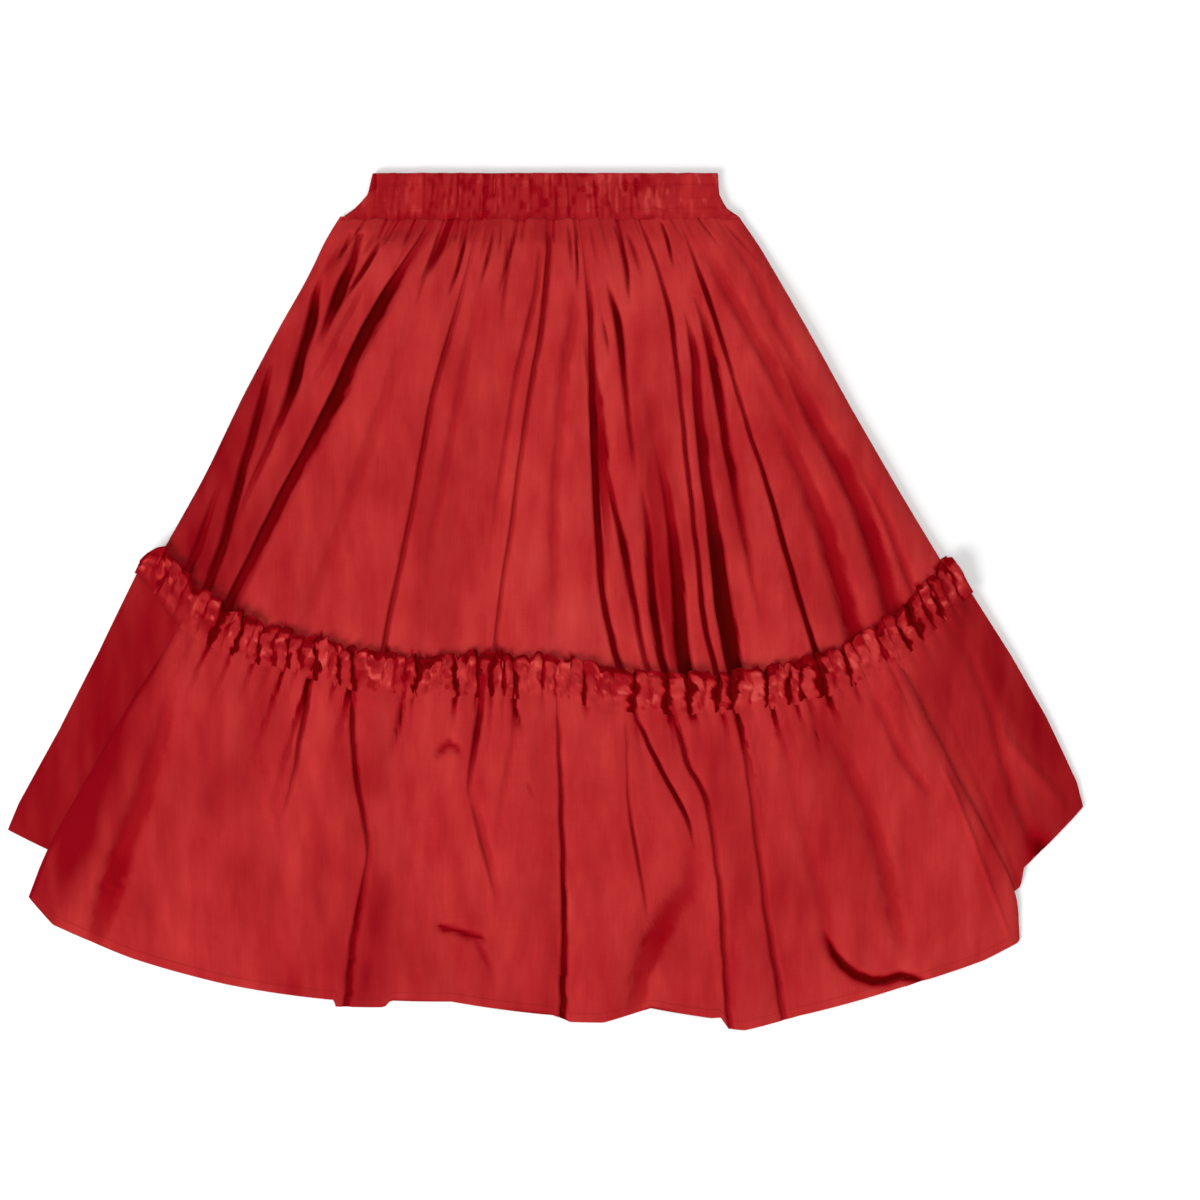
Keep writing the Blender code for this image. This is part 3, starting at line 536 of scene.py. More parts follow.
def waistGathers(count, edges, first):
    # short pinched pleats below the casing, closest together at its middle
    folds = []
    for i in range(count):
        deg = edges[0] + (edges[1] - edges[0]) * (i + 0.5 + uneven(first + i * 3, -0.33, 0.33)) / count
        length = uneven(first + i * 5 + 1, 0.025, 0.11) + (0.12 if uneven(first + i * 7) > 0.8 else 0)
        depth = uneven(first + i * 11 + 2, 0.8, 6.2) * (1 - 0.6 * smooth((deg - 17) / 5))
        drift = deg * 0.035 + uneven(first + i * 13, -0.5, 0.5)
        side = uneven(first + i * 17, 1.6, 3.8)
        start = float(max(0, uneven(first + i * 19, -0.03, 0.035)))
        top = 0.9 if start == 0 else 0
        line = [(deg, start, top), (deg + drift * 0.5, start + length * 0.4, 1), (deg + drift, start + length, 0)]
        folds.append((f"gather{i}", side, side * uneven(first + i, 1.0, 1.9), depth, 0, 0, line))
    return folds


upperFolds += waistGathers(upper["gathers"], (-31.0, 32.2), 3)


# Painted shade patches: angle, share of the way down, reach in degrees, reach in shares, how dark (below zero,
# painted light).
upperShadePatches = [
    ("leftEdge", -28.4, 0.66, 2.4, 0.36, 0.74),
    ("leftRim", -30.6, 0.58, 1.1, 0.28, 0.45),
    ("leftLow", -26.4, 0.88, 3, 0.14, 0.6),
    ("leftInner", -24.6, 0.42, 1.6, 0.3, 0.12),
    ("leftDeepSide", -24, 0.62, 1, 0.2, 0.36),
    ("shoulderPatch", -29.2, 0.12, 0.9, 0.03, 0.45),
    ("leftWide", -18, 0.68, 6.5, 0.34, 0.22),
    ("leftMiddle", -9, 0.6, 3.2, 0.42, 0.24),
    ("top", 0, 0, 24, 0.05, 0.24),
    ("centreTop", 7, 0.22, 7, 0.14, -0.16),
    ("centreLit", 2.8, 0.7, 2.4, 0.4, -0.08),
    ("middleFold", -4.8, 0.52, 2, 0.24, 0.26),
    ("centreHigh", 9.6, 0.16, 1.8, 0.1, 0.22),
    ("centreRight", 10.4, 0.64, 1.6, 0.22, 0.38),
    ("centreDeep", 13, 0.5, 1.3, 0.26, 0.22),
    ("betweenFolds", 17.2, 0.78, 1.6, 0.16, 0.12),
    ("lowStrip", 10.6, 0.84, 0.6, 0.12, 0.4),
    ("rightInner", 18.5, 0.56, 1.2, 0.14, 0.46),
    ("rightMiddle", 23.4, 0.5, 1.6, 0.24, 0.16),
    ("rightLow", 22.4, 0.84, 1.3, 0.13, 0.52),
    ("rightLowOuter", 26.4, 0.84, 1.6, 0.16, 0.5),
    ("rightHigh", 28.6, 0.46, 1.4, 0.26, 0.4),
]


def tierGrid(share, guides, counts, pull=0.75):  # angles, shares and radii, then mm across and down the cloth
    deg = guidedColumns(guides, share, counts, pull)
    share = share[:, None] + 0 * deg
    top = waistRadius(deg)
    radius = top + (stitchRadius(deg) - fan["seamGap"] - top) * share
    return deg, share, radius, np.radians(deg) * radius, radius - top


def upperLoft(deg, share, radius):  # the outside of the front without its folds
    left, right = along(upper["edges"], share, 1), along(upper["edges"], share, 2)
    low = along(upper["edgeHeight"], share)
    distance = fromSide(deg, left, right, radius)
    return low + (along(upper["loft"], share) - low) * sideShare(distance, upper["rounding"])


def makeUpperFront():
    rows = np.linspace(0, 1, upper["rows"] + 1) ** 1.15
    deg, share, radius, width, length = tierGrid(rows, upperGuides, upper["columns"])
    loft = upperLoft(deg, share, radius)
    inner = smooth((loft - 5.0) / 5.0)
    z = loft + inner * upper["rolling"] * softNoise(width / 46 + 3.1, length / 150, 5)
    z += inner * upper["crumple"] * softNoise(width / 13, length / 34, 9)
    sink, creaseShade, lean = foldSink(upperFolds, deg, share, radius)
    slack = 1 - upper["grip"] * smooth((share - 0.94) / 0.06)
    z = np.where(inner > 0, np.maximum(z - sink * slack, upper["lowest"]), loft)
    # the shade where the frill folds over
    above = stitchRadius(deg) - fan["seamGap"] - frillReach(waveAt(deg, radius)) - radius
    fade = 2.6 + 3.6 * softNoise(width / 11, 0 * width, 43) + 2.0 * softNoise(width / 3.6, length / 3.6, 44)
    under = smooth(1 - (above - 0.5) / np.maximum(fade, 0.4))
    creaseShade = np.maximum(creaseShade, 0.75 * under * smooth(0.50 + 1.1 * softNoise(width / 5, length / 4, 47)))
    # painted shade: darker where the cloth lies low at its sides, with the shade patches and random wear
    shade = 0.20 * (1 - smooth((z - 4.0) / 9.0)) + paintedShadeAt(upperShadePatches, deg, share) + wear(width, length, 115)
    radius[0] -= upper["tuck"][0]
    z[0] -= upper["tuck"][1]
    points = fanPoints(deg + np.degrees(lean * slack / radius), radius, z)
    place, shade = onCloth(width, length, 0, 0), np.clip(shade, -0.4, 1)
    piece = clothShell("upperFront", points, place, creaseShade, shade, fan["wall"], True, skirtCloth)
    dress(piece, "upper_front")


upperBack = {
    "rows": 56,
    "columns": 300,
    "gathers": 44,
    "rest": 3.9,  # mm up at its lower edge, on the back frill
    "edgeHeight": 1.5,
    "rounding": 14.0,
    "foldMost": 2.4,  # mm that its folds rise
}
upperBackFolds = [
    ("back1", 4, 8, 2.3, 0, 0, [(-25, 0, 1), (-24, 0.4, 1), (-23.5, 0.8, 0.6)]),
    ("back2", 3, 8, 2, 0, 0, [(-16.5, 0, 0.7), (-15, 0.3, 1), (-14.5, 0.62, 0)]),
    ("back3", 6, 4, 2.3, 0, 0, [(-8, 0, 1), (-7, 0.45, 1), (-7.4, 0.84, 0.5)]),
    ("back4", 4, 8, 1.9, 0, 0, [(2.5, 0, 0.8), (3, 0.25, 1), (3.6, 0.5, 0)]),
    ("back5", 8, 3, 2.3, 0, 0, [(10.5, 0, 1), (11.2, 0.4, 1), (12, 0.82, 0.6)]),
    ("back6", 4, 8, 2, 0, 0, [(20, 0, 0.7), (19, 0.35, 1), (19.5, 0.7, 0)]),
    ("back7", 7, 4, 2, 0, 0, [(27, 0.02, 0.5), (26.2, 0.45, 1), (26.5, 0.82, 0.5)]),
] + waistGathers(upperBack["gathers"], (-30.5, 31.8), 71)


def makeUpperBack():
    rows = np.linspace(0, 1, upperBack["rows"] + 1) ** 1.1
    deg, share, radius, width, length = tierGrid(rows, upperEdges, [upperBack["columns"]], 0.4)
    lift = upperBack["rest"] * smooth((share - 0.80) / 0.085)
    distance = fromSide(deg, deg[:, :1], deg[:, -1:], radius)
    edge = upperBack["edgeHeight"] * (1 - sideShare(distance, upperBack["rounding"]))
    z = lift + (1 - lift / upperBack["rest"]) * edge
    sink, creaseShade = foldSink(upperBackFolds, deg, share, radius)[:2]
    z += np.minimum(sink, upperBack["foldMost"]) * (1 - smooth((share - 0.72) / 0.1)) * smooth(distance / 12)
    z += 0.25 * (1 + softNoise(width / 40, length / 120, 31)) * smooth(distance / 30)
    points = fanPoints(deg, radius, np.maximum(z, 0.02))
    place = onCloth(width, length, 2, 0)
    # painted shade: its folds' shade at six tenths, and slightly darker all over
    piece = clothShell("upperBack", points, place, 0.6 * creaseShade, 0.1, fan["wall"], False, skirtCloth)
    dress(piece, "upper_back")


# Frilly heading
frill = {
    "stepsPerWave": 12,
    "rows": 24,
    "height": 44.0,
    "wall": 0.4,
    "rise": (0.8, 2.7),  # mm of wave at the stitches and at the free edge
    "over": 1.9,  # mm above the upper tier
    "crush": (1.5, 1.4, 0.6),  # mm of crumple, from broad to fine
    "sunk": 0.9,  # mm into the flounce at the stitches
    "pucker": 3.0,  # mm between the tops and valleys of the gathers at the stitches
    "gapWidth": (0.13, 0.19),  # half a weak gap, as a share of a wave, and what a strong one adds
    "rim": 5.8,  # mm of shade along the free edge
    "leftEnd": (-31.1, 2.0),  # degrees: where it ends, and over how many it is rounded off
    "backWaves": 38,
    "backRows": 8,
}
# The gaps between its gathers, sunk and with painted shade: angle and strength.
frillGaps = [
    (-31, 0.6), (-29.8, 0.5), (-28.9, 0.9), (-27.9, 0.6), (-26.9, 0.7), (-25.9, 0.3), (-24.9, 0.8), (-23.7, 1.2),
    (-22.9, 0.8), (-22.05, 1.1), (-21.2, 0.5), (-20.4, 1.1), (-19.2, 0.9), (-18.2, 1.3), (-17.3, 0.9), (-16.25, 1.3),
    (-15.3, 0.4), (-14.4, 1.1), (-13.3, 1.3), (-12.2, 0.3), (-11.2, 0.45), (-10.3, 0.7), (-9.5, 0.8), (-8.7, 1.1),
    (-7.8, 0.4), (-6.8, 0.6), (-5.7, 1.3), (-4.95, 0.5), (-4.2, 1), (-3.1, 1), (-2.3, 0.9), (-1.45, 1.3), (-0.4, 0.5),
    (0.6, 0.8), (1.6, 0.7), (2.6, 0.35), (3.6, 1), (4.7, 0.3), (5.7, 0.5), (7.1, 1), (8.3, 0.5), (9.5, 1.2),
    (11.1, 1.3), (12.1, 0.6), (13.05, 1.2), (14, 1.35), (15.2, 0.6), (16.5, 1.3), (17.3, 0.5), (18.1, 1.2),
    (18.95, 1), (20.4, 1.3), (21.3, 0.6), (22.25, 1.1), (23.2, 0.6), (24.1, 0.35), (25, 0.8), (25.9, 0.6),
    (26.8, 1.1), (27.9, 1.1), (28.9, 1), (29.9, 1), (30.8, 0.7), (31.7, 0.9), (32.6, 0.6),
]
frillWaves = len(frillGaps) - 1
waveEnds = np.array([gap[0] for gap in frillGaps])
gapSizes = np.array([gap[1] for gap in frillGaps])
waveSizes = uneven(np.arange(frillWaves) * 7 + 2, 0.62, 1.15)


def waveAt(deg, radius=None):  # the gathers hang straight in the middle and follow the fan at the sides
    if radius is not None:
        deg = deg * (1 + (radius / (stitchRadius(deg) - 22) - 1) * (1 - smooth((np.abs(deg) - 18) / 5)))
    return np.interp(deg, waveEnds, np.arange(frillWaves + 1))


def nearestGap(phase):
    return np.clip(np.round(phase), 0, frillWaves).astype(int)


def gapAt(phase):  # the strength of the nearest gap
    return gapSizes[nearestGap(phase)]


def hump(phase):  # rounded tops with valleys between, shallow where the gap is weak
    dip = 1 - np.abs(np.sin(np.pi * phase)) ** 0.62
    return 1 - dip * np.clip(1.25 * gapAt(phase) - 0.35, 0.06, 1.1)


def frillReach(phase):  # from the stitches to the free edge
    rough = 3.2 * softNoise(phase * 1.1, 0 * phase, 41) + 1.7 * softNoise(phase * 3.1, 0 * phase, 42)
    return frill["height"] - 6.8 + 4.95 * hump(phase) + rough


def seamHeight(deg):
    return upperLoft(deg, 1.0, stitchRadius(deg)) + frill["over"]


def seamPucker(phase):  # the gathers' height where they are stitched down
    return frill["pucker"] * (hump(phase) - 0.7)


def endRounding(deg):
    end, rounding = frill["leftEnd"]
    return sideShare(deg - end, rounding)


def makeFrillFront():
    phase = np.linspace(0, frillWaves, frillWaves * frill["stepsPerWave"] + 1)[None, :]
    v = (1 - (1 - np.linspace(0, 1, frill["rows"] + 1)) ** 1.1)[:, None]  # 0 at the free edge, 1 at the stitches
    noise = lambda across, down, salt, right=0, low=0: softNoise(phase * across + right, v * down + low, salt)
    free = (1 - v) ** 0.7
    deg = np.interp(phase, np.arange(frillWaves + 1), waveEnds) + 0 * v
    loose = 1 - smooth((v - 0.72) / 0.28)  # at the stitches the gathers are the flounce's own
    stray = (0.08 + 0.20 * (1 - v)) * noise(0.8, 2.4, 17, 4) + 0.13 * noise(1.9, 5.0, 19)
    gather = np.clip(waveAt(deg, stitchRadius(deg) - frill["height"] * (1 - v)) + loose * stray, 0, frillWaves)
    size = np.interp(phase, np.arange(frillWaves) + 0.5, waveSizes) * (1 + 0.45 * noise(1.3, 2.2, 23, 0, 7))
    high = hump(gather)
    start = stitchRadius(deg) - fan["seamGap"]
    reach = frillReach(phase) * endRounding(deg)
    radius = start - reach * (1 - v)
    # it lies over the upper tier, and beyond the tier's sides it hangs on at the same height
    share = np.clip((radius - waistRadius(deg)) / (stitchRadius(deg) - waistRadius(deg)), 0, 1)
    edgeLeft, edgeRight = along(upper["edges"], share, 1), along(upper["edges"], share, 2)
    beyond = smooth(np.maximum(edgeLeft - deg, deg - edgeRight) / 1.0)
    tier = upperLoft(np.clip(deg, edgeLeft + 0.4, edgeRight - 0.4), share, radius)
    base = tier + frill["over"] - 1.2 * beyond
    low, tall = frill["rise"]
    wave = (low + tall * free * size) * high
    curl = 1.5 * (1 - v) ** 3 * noise(1.7, 0, 53, 0, 2)
    ridged = lambda across, down, salt: 0.5 - np.abs(noise(across, down, salt))
    broad, middle, fine = frill["crush"]
    crush = broad * ridged(1.7, 4.2, 61) + middle * ridged(3.3, 8.5, 63) + fine * noise(4.1, 12, 65)
    down = smooth((1 - v) * 1.3)
    z = base + (wave + curl + crush) * down + seamPucker(waveAt(deg)) * (1 - down)
    z -= frill["sunk"] * smooth((v - 0.45) / 0.55)
    pitch = np.radians(np.gradient(deg, axis=1)) * radius * frill["stepsPerWave"]
    aside = -0.10 * pitch * np.sin(2 * np.pi * gather) * (0.4 + 0.6 * free)
    aside = aside + 0.5 * noise(0.9, 1.6, 67, 11) * wave * smooth(free * 1.2)
    points = fanPoints(deg + np.degrees(aside / radius), radius, np.maximum(z, base - 1.6))
    # painted shade in the gaps: a weak one covers its own part of the height, a strong one runs on into the flounce
    gap, number = gapAt(gather), nearestGap(gather)
    top = uneven(number * 3 + 1, -0.30, 0.22)
    foot = np.where(gap > 0.85, 1.3, uneven(number * 5 + 2, 0.55, 0.95))
    covers = smooth((v - top) / 0.14) * smooth((foot - v) / 0.14)
    ragged = 0.15 * noise(1.9, 4.0, 69, 3) + 0.11 * noise(5.1, 9.5, 71)
    half = (frill["gapWidth"][0] + frill["gapWidth"][1] * gap) * (0.68 + 0.32 * loose)
    inGap = smooth((half - np.abs(gather - number) + ragged) / 0.10)
    creaseShade = covers * np.clip(1.05 * gap - 0.16, 0, 0.94) * inGap
    leftEnd = smooth((-27 - deg) / 2)
    # painted shade: dark specks, fewer on the crests and more towards the left end
    specks = 0.5 * noise(3.7, 8.0, 73) + 0.5 * noise(1.7, 4.0, 74) - 0.24 + 0.14 * leftEnd
    creaseShade = np.maximum(creaseShade, 0.66 * smooth(specks / 0.2) * (1 - 0.3 * high) * smooth((1.0 - v) / 0.14))
    rim = frill["rim"] + 5.0 * noise(0.9, 0, 75) + 3.4 * noise(3.1, 14, 76)
    creaseShade = np.maximum(creaseShade, (0.78 + 0.2 * noise(2.2, 9, 78)) * smooth((rim - reach * v) / 1.6))
    # the painted shade of the tier's folds runs in under it, and that of the flounce's folds begins in it
    fray = noise(2.4, 5, 80)
    tierFolds = foldSink(upperFolds, deg[:1], 0.96, radius[:1])[1]
    creaseShade = np.maximum(creaseShade, 0.9 * tierFolds * smooth((0.26 + 0.16 * fray - v) / 0.08))
    hemFolds = foldSink(flounceFolds, deg, 0.015, radius)[1]
    creaseShade = np.maximum(creaseShade, 0.95 * hemFolds * smooth((v - 0.50 + 0.25 * fray) / 0.15))
    # painted shade: darker in the valleys than on the crests, and towards the left and right ends
    shade = 0.38 - 0.22 * high + 0.20 * smooth((2 - deg) / 6) + 0.15 * smooth((deg - 25) / 3) + 0.22 * leftEnd
    shade += 0.36 * noise(1.1, 2.2, 77, 2) + 0.40 * noise(2.9, 7, 79)
    spots = smooth((noise(3.1, 7.0, 82, 1) - 0.46) / 0.25) * smooth((0.9 - v) / 0.3)  # small painted highlights on the crests
    joined = smooth((v - 0.66) / 0.32)  # at the stitches it takes the painted shade and wear of what it is sewn to
    edges = flounce["frontEdges"][0]
    sewnTo = np.where((deg < edges[1]) | (deg > edges[2]), flapPaintedShade(deg), flounceShade(deg, 0 * deg, radius))
    shade = np.clip((shade - 1.2 * spots * high) * (1 - joined) + joined * sewnTo, -0.75, 0.9)
    place = onCloth(np.radians(deg) * radius, radius - start, 4, 0.9)
    piece = clothShell("frillFront", points, place, creaseShade, shade, frill["wall"], True, skirtCloth)
    dress(piece, "heading_front")


def makeFrillBack():
    waves, left, right = frill["backWaves"], waveEnds[0], waveEnds[-1]
    phase = np.linspace(0, waves, waves * frill["stepsPerWave"] + 1)[None, :]
    v = np.linspace(0, 1, frill["backRows"] + 1)[:, None]
    deg = left + (right - left) * phase / waves + 0.4 * softNoise(phase * 0.6, 0 * phase, 71) + 0 * v
    deg = np.clip(deg, left, right)
    high = np.abs(np.sin(np.pi * (phase + 0.2 * softNoise(phase * 0.9, v * 2, 73)))) ** 0.9
    size = uneven(np.floor(phase + 0.001) * 3, 0.6, 1.1)
    radius = stitchRadius(deg) - fan["seamGap"] - (frill["height"] - 1.5 + 1.5 * high) * (1 - v) * endRounding(deg)
    points = fanPoints(deg, radius, (0.7 + 1.7 * (1 - v)) * (1 - high) * size + 0.02)
    place = onCloth(1.4 * np.radians(deg) * radius, radius, 2, 0.6)
    # painted shade in the valleys between its waves, and slightly darker all over
    creaseShade = 0.5 * (1 - high) ** 2
    piece = clothShell("frillBack", points, place, creaseShade, 0.1, frill["wall"], False, skirtCloth)
    dress(piece, "heading_back")


# Flounce
flounce = {
    "rows": 72,
    "columns": [76, 50, 52, 50, 44, 34, 26, 26, 110],
    "frontHem": [(-27.4, 1057), (-25.4, 1072), (-21.0, 1072), (-16.1, 1067), (-13.2, 1062.6), (-10.45, 1058),
                 (-10.3, 1064), (-7.8, 1057), (-7.55, 1050), (-4.4, 1045), (0.9, 1055), (1.8, 1062), (3.5, 1064),
                 (6.0, 1054), (9.0, 1071), (9.5, 1072), (9.8, 1084), (10.6, 1088), (13.4, 1085), (18.6, 1086),
                 (23.1, 1090), (25.0, 1088), (27.0, 1066)],
    "frontEdges": [(0.00, -26.2, 25.7), (0.30, -26.9, 25.8), (0.80, -27.4, 26.1), (0.93, -27.3, 25.9),
                   (1.00, -27.1, 25.0)],
    "loft": [(0.00, 19.4), (0.12, 19.6), (0.30, 18.2), (0.50, 15.4), (0.70, 11.4), (0.84, 7.8), (0.93, 5.0),
             (1.00, 3.6)],
    "edgeHeight": [(0.00, 17.0), (0.30, 16.4), (0.60, 12.0), (0.84, 6.2), (0.93, 3.2), (1.00, 1.8)],
    "rounding": 18.0,
    "rolling": 1.0,
    "crumple": 0.30,
    "puff": 3.4,  # mm that it bulges along its sides
    "tuck": (4.4, 2.6, 1.0),  # mm under the frill, how unevenly, and down
    "lowest": (4.4, 1.0),  # mm, above the back and beyond its hem
    "backReach": 1018,  # radius of the back's hem, with a little room
    "hem": 9.0,  # width of the turned hem
    "hemShadeSpan": (-9.9, 9.4),  # angles between which painted shade runs along the hem
}
flounceFolds = [
    ("leftSoft", 12, 16, 5.6, 7, 0, [(-24.9, 0.1, 0), (-24.35, 0.31, 0.65), (-23.9, 0.55, 0.9), (-23.8, 0.81, 1.25),
     (-23.4, 0.93, 0.95), (-23.25, 1, 0.5)]),
    ("leftShort", 3, 4.5, 7.5, 2, 0, [(-16.2, 0, 0.95), (-15.9, 0.13, 0.85), (-15.5, 0.28, 0.45),
     (-15.45, 0.37, 0.25), (-15.45, 0.45, 0)]),
    ("leftBent", 2.6, 7, 8, 2, 0.5, [(-13.1, 0, 0.8), (-12.8, 0.08, 0.8), (-11.65, 0.27, 0.8), (-10.65, 0.4, 0.7),
     (-9.95, 0.49, 0.35), (-9.95, 0.55, 0.45), (-10.1, 0.67, 0.8), (-10.05, 0.82, 1), (-9.85, 1, 1.1)]),
    ("leftSmall", 3, 4.5, 7.5, 1.4, 0, [(-9.5, 0, 0.9), (-9.4, 0.06, 1), (-9.5, 0.11, 0.6), (-9.6, 0.18, 0)]),
    ("middleShort", 3.2, 4.5, 8, 3, 0, [(-3.95, 0, 0.95), (-4.05, 0.1, 0.95), (-4.15, 0.2, 0.7), (-4.35, 0.28, 0.4),
     (-4.25, 0.33, 0)]),
    ("middlePinch", 3, 3, 8, 1.4, 0, [(-1.8, 0, 1.1), (-1.3, 0.05, 1), (-0.8, 0.1, 0)]),
    ("middleFaint", 6, 6, 2.8, 0, 0, [(-1.2, 0.06, 0), (-1.7, 0.2, 1), (-2.3, 0.4, 0.5), (-2.4, 0.5, 0)]),
    ("middleWedge", 4, 10, 4.4, 4, 0, [(-4.15, 0.29, 0), (-3.75, 0.38, 0.7), (-3.15, 0.48, 0.75), (-2.4, 0.6, 0.45),
     (-2.1, 0.7, 0)]),
    ("centreHard", 2.6, 5, 8.5, 2.4, 0.6, [(1.6, 0, 0.25), (1.6, 0.1, 0.45), (1.6, 0.3, 0.7), (1.6, 0.52, 0.8),
     (1.6, 0.68, 0.9), (1.4, 0.85, 1.1), (1.3, 1, 1.1)]),
    ("centreThin", 2.6, 3.5, 5.5, 0.8, 0, [(6.4, 0, 0.15), (6.2, 0.15, 0.3), (5.95, 0.3, 0.45), (6, 0.42, 0.8),
     (6.2, 0.52, 0.7), (6.3, 0.61, 0.4), (6.4, 0.7, 0)]),
    ("diagonal", 2.6, 4.5, 8.6, 3, 0.6, [(6.85, 0, 0.7), (7.25, 0.04, 0.8), (8.25, 0.19, 0.85), (9.45, 0.34, 0.8),
     (9.65, 0.39, 0.25), (9.65, 0.43, 0)]),
    ("wandering", 2.8, 6, 7.4, 2.2, 0.3, [(9.7, 0, 0.8), (10, 0.17, 0.8), (10.85, 0.25, 0.8), (10.8, 0.38, 0.5),
     (10.7, 0.45, 0.5), (10.6, 0.57, 0.65), (10.15, 0.78, 0.65), (9.9, 0.93, 0.7), (9.8, 1, 0.8)]),
    ("rightLong", 3, 6, 5.5, 2, 0.2, [(14.1, 0, 0.4), (13.55, 0.3, 0.65), (12.9, 0.63, 0.75), (12.55, 0.97, 0.95),
     (12.55, 1, 0.95)]),
    ("lowWide", 22, 13, 6, 5, 0, [(9.95, 0.42, 0), (9.15, 0.55, 0.55), (7.55, 0.67, 1), (6.55, 0.76, 1.1),
     (5.75, 0.87, 0.9), (5.15, 1, 0.45)]),
    ("rightSoft", 14, 13, 4.2, 3, 0, [(19.25, 0.02, 0.3), (19.95, 0.2, 0.65), (20.2, 0.4, 0.8), (19.9, 0.61, 0.95),
     (19.5, 0.8, 0.8), (19.4, 0.92, 0)]),
    ("rightBroad", 12, 12, 1.6, 0, 0, [(16.4, 0.15, 0), (16.2, 0.4, 1), (16, 0.75, 1), (15.8, 1, 0.3)]),
    ("rightSide", 8, 9, 4, 0.5, 0, [(22.95, 0.03, 0.15), (23.25, 0.1, 0.55), (23.2, 0.26, 0.85), (23.6, 0.36, 0.75),
     (24.2, 0.46, 0)]),
    ("rightTick", 3, 3, 4.5, 0, 0, [(18.8, 0.06, 0), (18.8, 0.11, 1), (18.6, 0.19, 0)]),
    ("rightRidge", 4, 4, -2.6, 0, 0, [(25.3, 0.36, 0), (25.3, 0.45, 1), (25, 0.74, 1), (24.7, 0.97, 0.6)]),
]
# Painted shade patches, as for the upper tier.
flounceShadePatches = [
    ("leftEdge", -26.8, 0.6, 1.4, 0.6, 0.8),
    ("leftLow", -25.6, 0.7, 1.3, 0.28, 0.44),
    ("leftWide", -21.5, 0.6, 3.4, 0.45, 0.3),
    ("leftBright", -24.6, 0.22, 1.4, 0.1, -0.2),
    ("leftHigh", -19, 0.24, 1.3, 0.22, 0.36),
    ("leftCentre", -15.6, 0.78, 2, 0.22, 0.3),
    ("leftFold", -12, 0.78, 1.4, 0.4, 0.34),
    ("leftFoldRight", -8.9, 0.84, 1.2, 0.26, 0.75),
    ("leftFoldHigh", -11.1, 0.22, 1.6, 0.22, 0.4),
    ("middleHem", -3.5, 0.9, 5, 0.2, 0.26),
    ("centreLeft", 0.4, 0.45, 1.2, 0.45, 0.22),
    ("lowMiddle", 7.4, 0.76, 1.3, 0.16, 0.5),
    ("centreLow", 3.4, 0.64, 1.3, 0.2, 0.2),
    ("wanderShade", 12, 0.42, 1.3, 0.36, 0.44),
    ("besideLong", 14.8, 0.58, 1.2, 0.18, 0.4),
    ("rightHigh", 19.2, 0.12, 2, 0.14, 0.34),
    ("rightFold", 19.2, 0.42, 2, 0.16, 0.3),
    ("rightLow", 17.2, 0.66, 2.6, 0.12, 0.16),
    ("rightEdge", 26, 0.3, 0.9, 0.45, 0.24),
]
flounceLines = foldLines(flounceFolds)
flounceEdges = edgeLines(flounce["frontEdges"])
flounceGuides = [
    flounceEdges[0],
    flounceLines["leftShort"] + [(1, -15.6)],
    flounceLines["leftBent"],
    [(0, -4.0), (0.10, -4.1), (0.20, -4.4), (0.28, -4.7), (0.38, -3.9), (0.48, -3.3), (0.62, -2.3), (1, -2.1)],
    flounceLines["centreHard"],
    flounceLines["centreThin"] + [(1, 6.0)],
    flounceLines["diagonal"][:-2] + [(0.5, 9.7), (1, 9.1)],
    flounceLines["wandering"],
    flounceLines["rightLong"],
    flounceEdges[1],
]
# Creases across the cloth: reach and depth in mm, then points as (x, y, size).
flounceDents = [
    ("arch", 8, 4.2, [(-106, -150, 0), (-99, -141, 0.8), (-91, -135, 1.1), (-84, -139, 0.8), (-78, -148, 0)]),
    ("crossCrease", 6.5, 5.2, [(-106, -304, 0), (-97, -311, 1), (-86, -312, 0.8), (-74, -317, 1.05), (-62, -319, 0.7),
     (-54, -325, 0)]),
    ("crossCreaseTail", 7, 2.6, [(-70, -316, 0.4), (-58, -336, 1), (-50, -358, 0)]),
    ("hemCrease", 8.5, 7, [(262, -306, 0), (268, -320, 0.45), (275, -336, 0.85), (284, -347, 1.1), (296, -356, 1.2),
     (312, -362, 1.2), (326, -361, 1.1), (338, -357, 1), (350, -359, 0.8), (362, -363, 0.4), (371, -366, 0)]),
    ("leftPuff", 24, -2.6, [(-345, -95, 0.2), (-372, -118, 1), (-398, -150, 0.2)]),
    ("smallTick", 4, 2.2, [(-20, -170, 0), (-14, -178, 1), (-12, -186, 0)]),
]


def flounceShade(deg, share, radius):
    return 0.10 + paintedShadeAt(flounceShadePatches, deg, share) + wear(np.radians(deg) * radius, share * 300, 117)


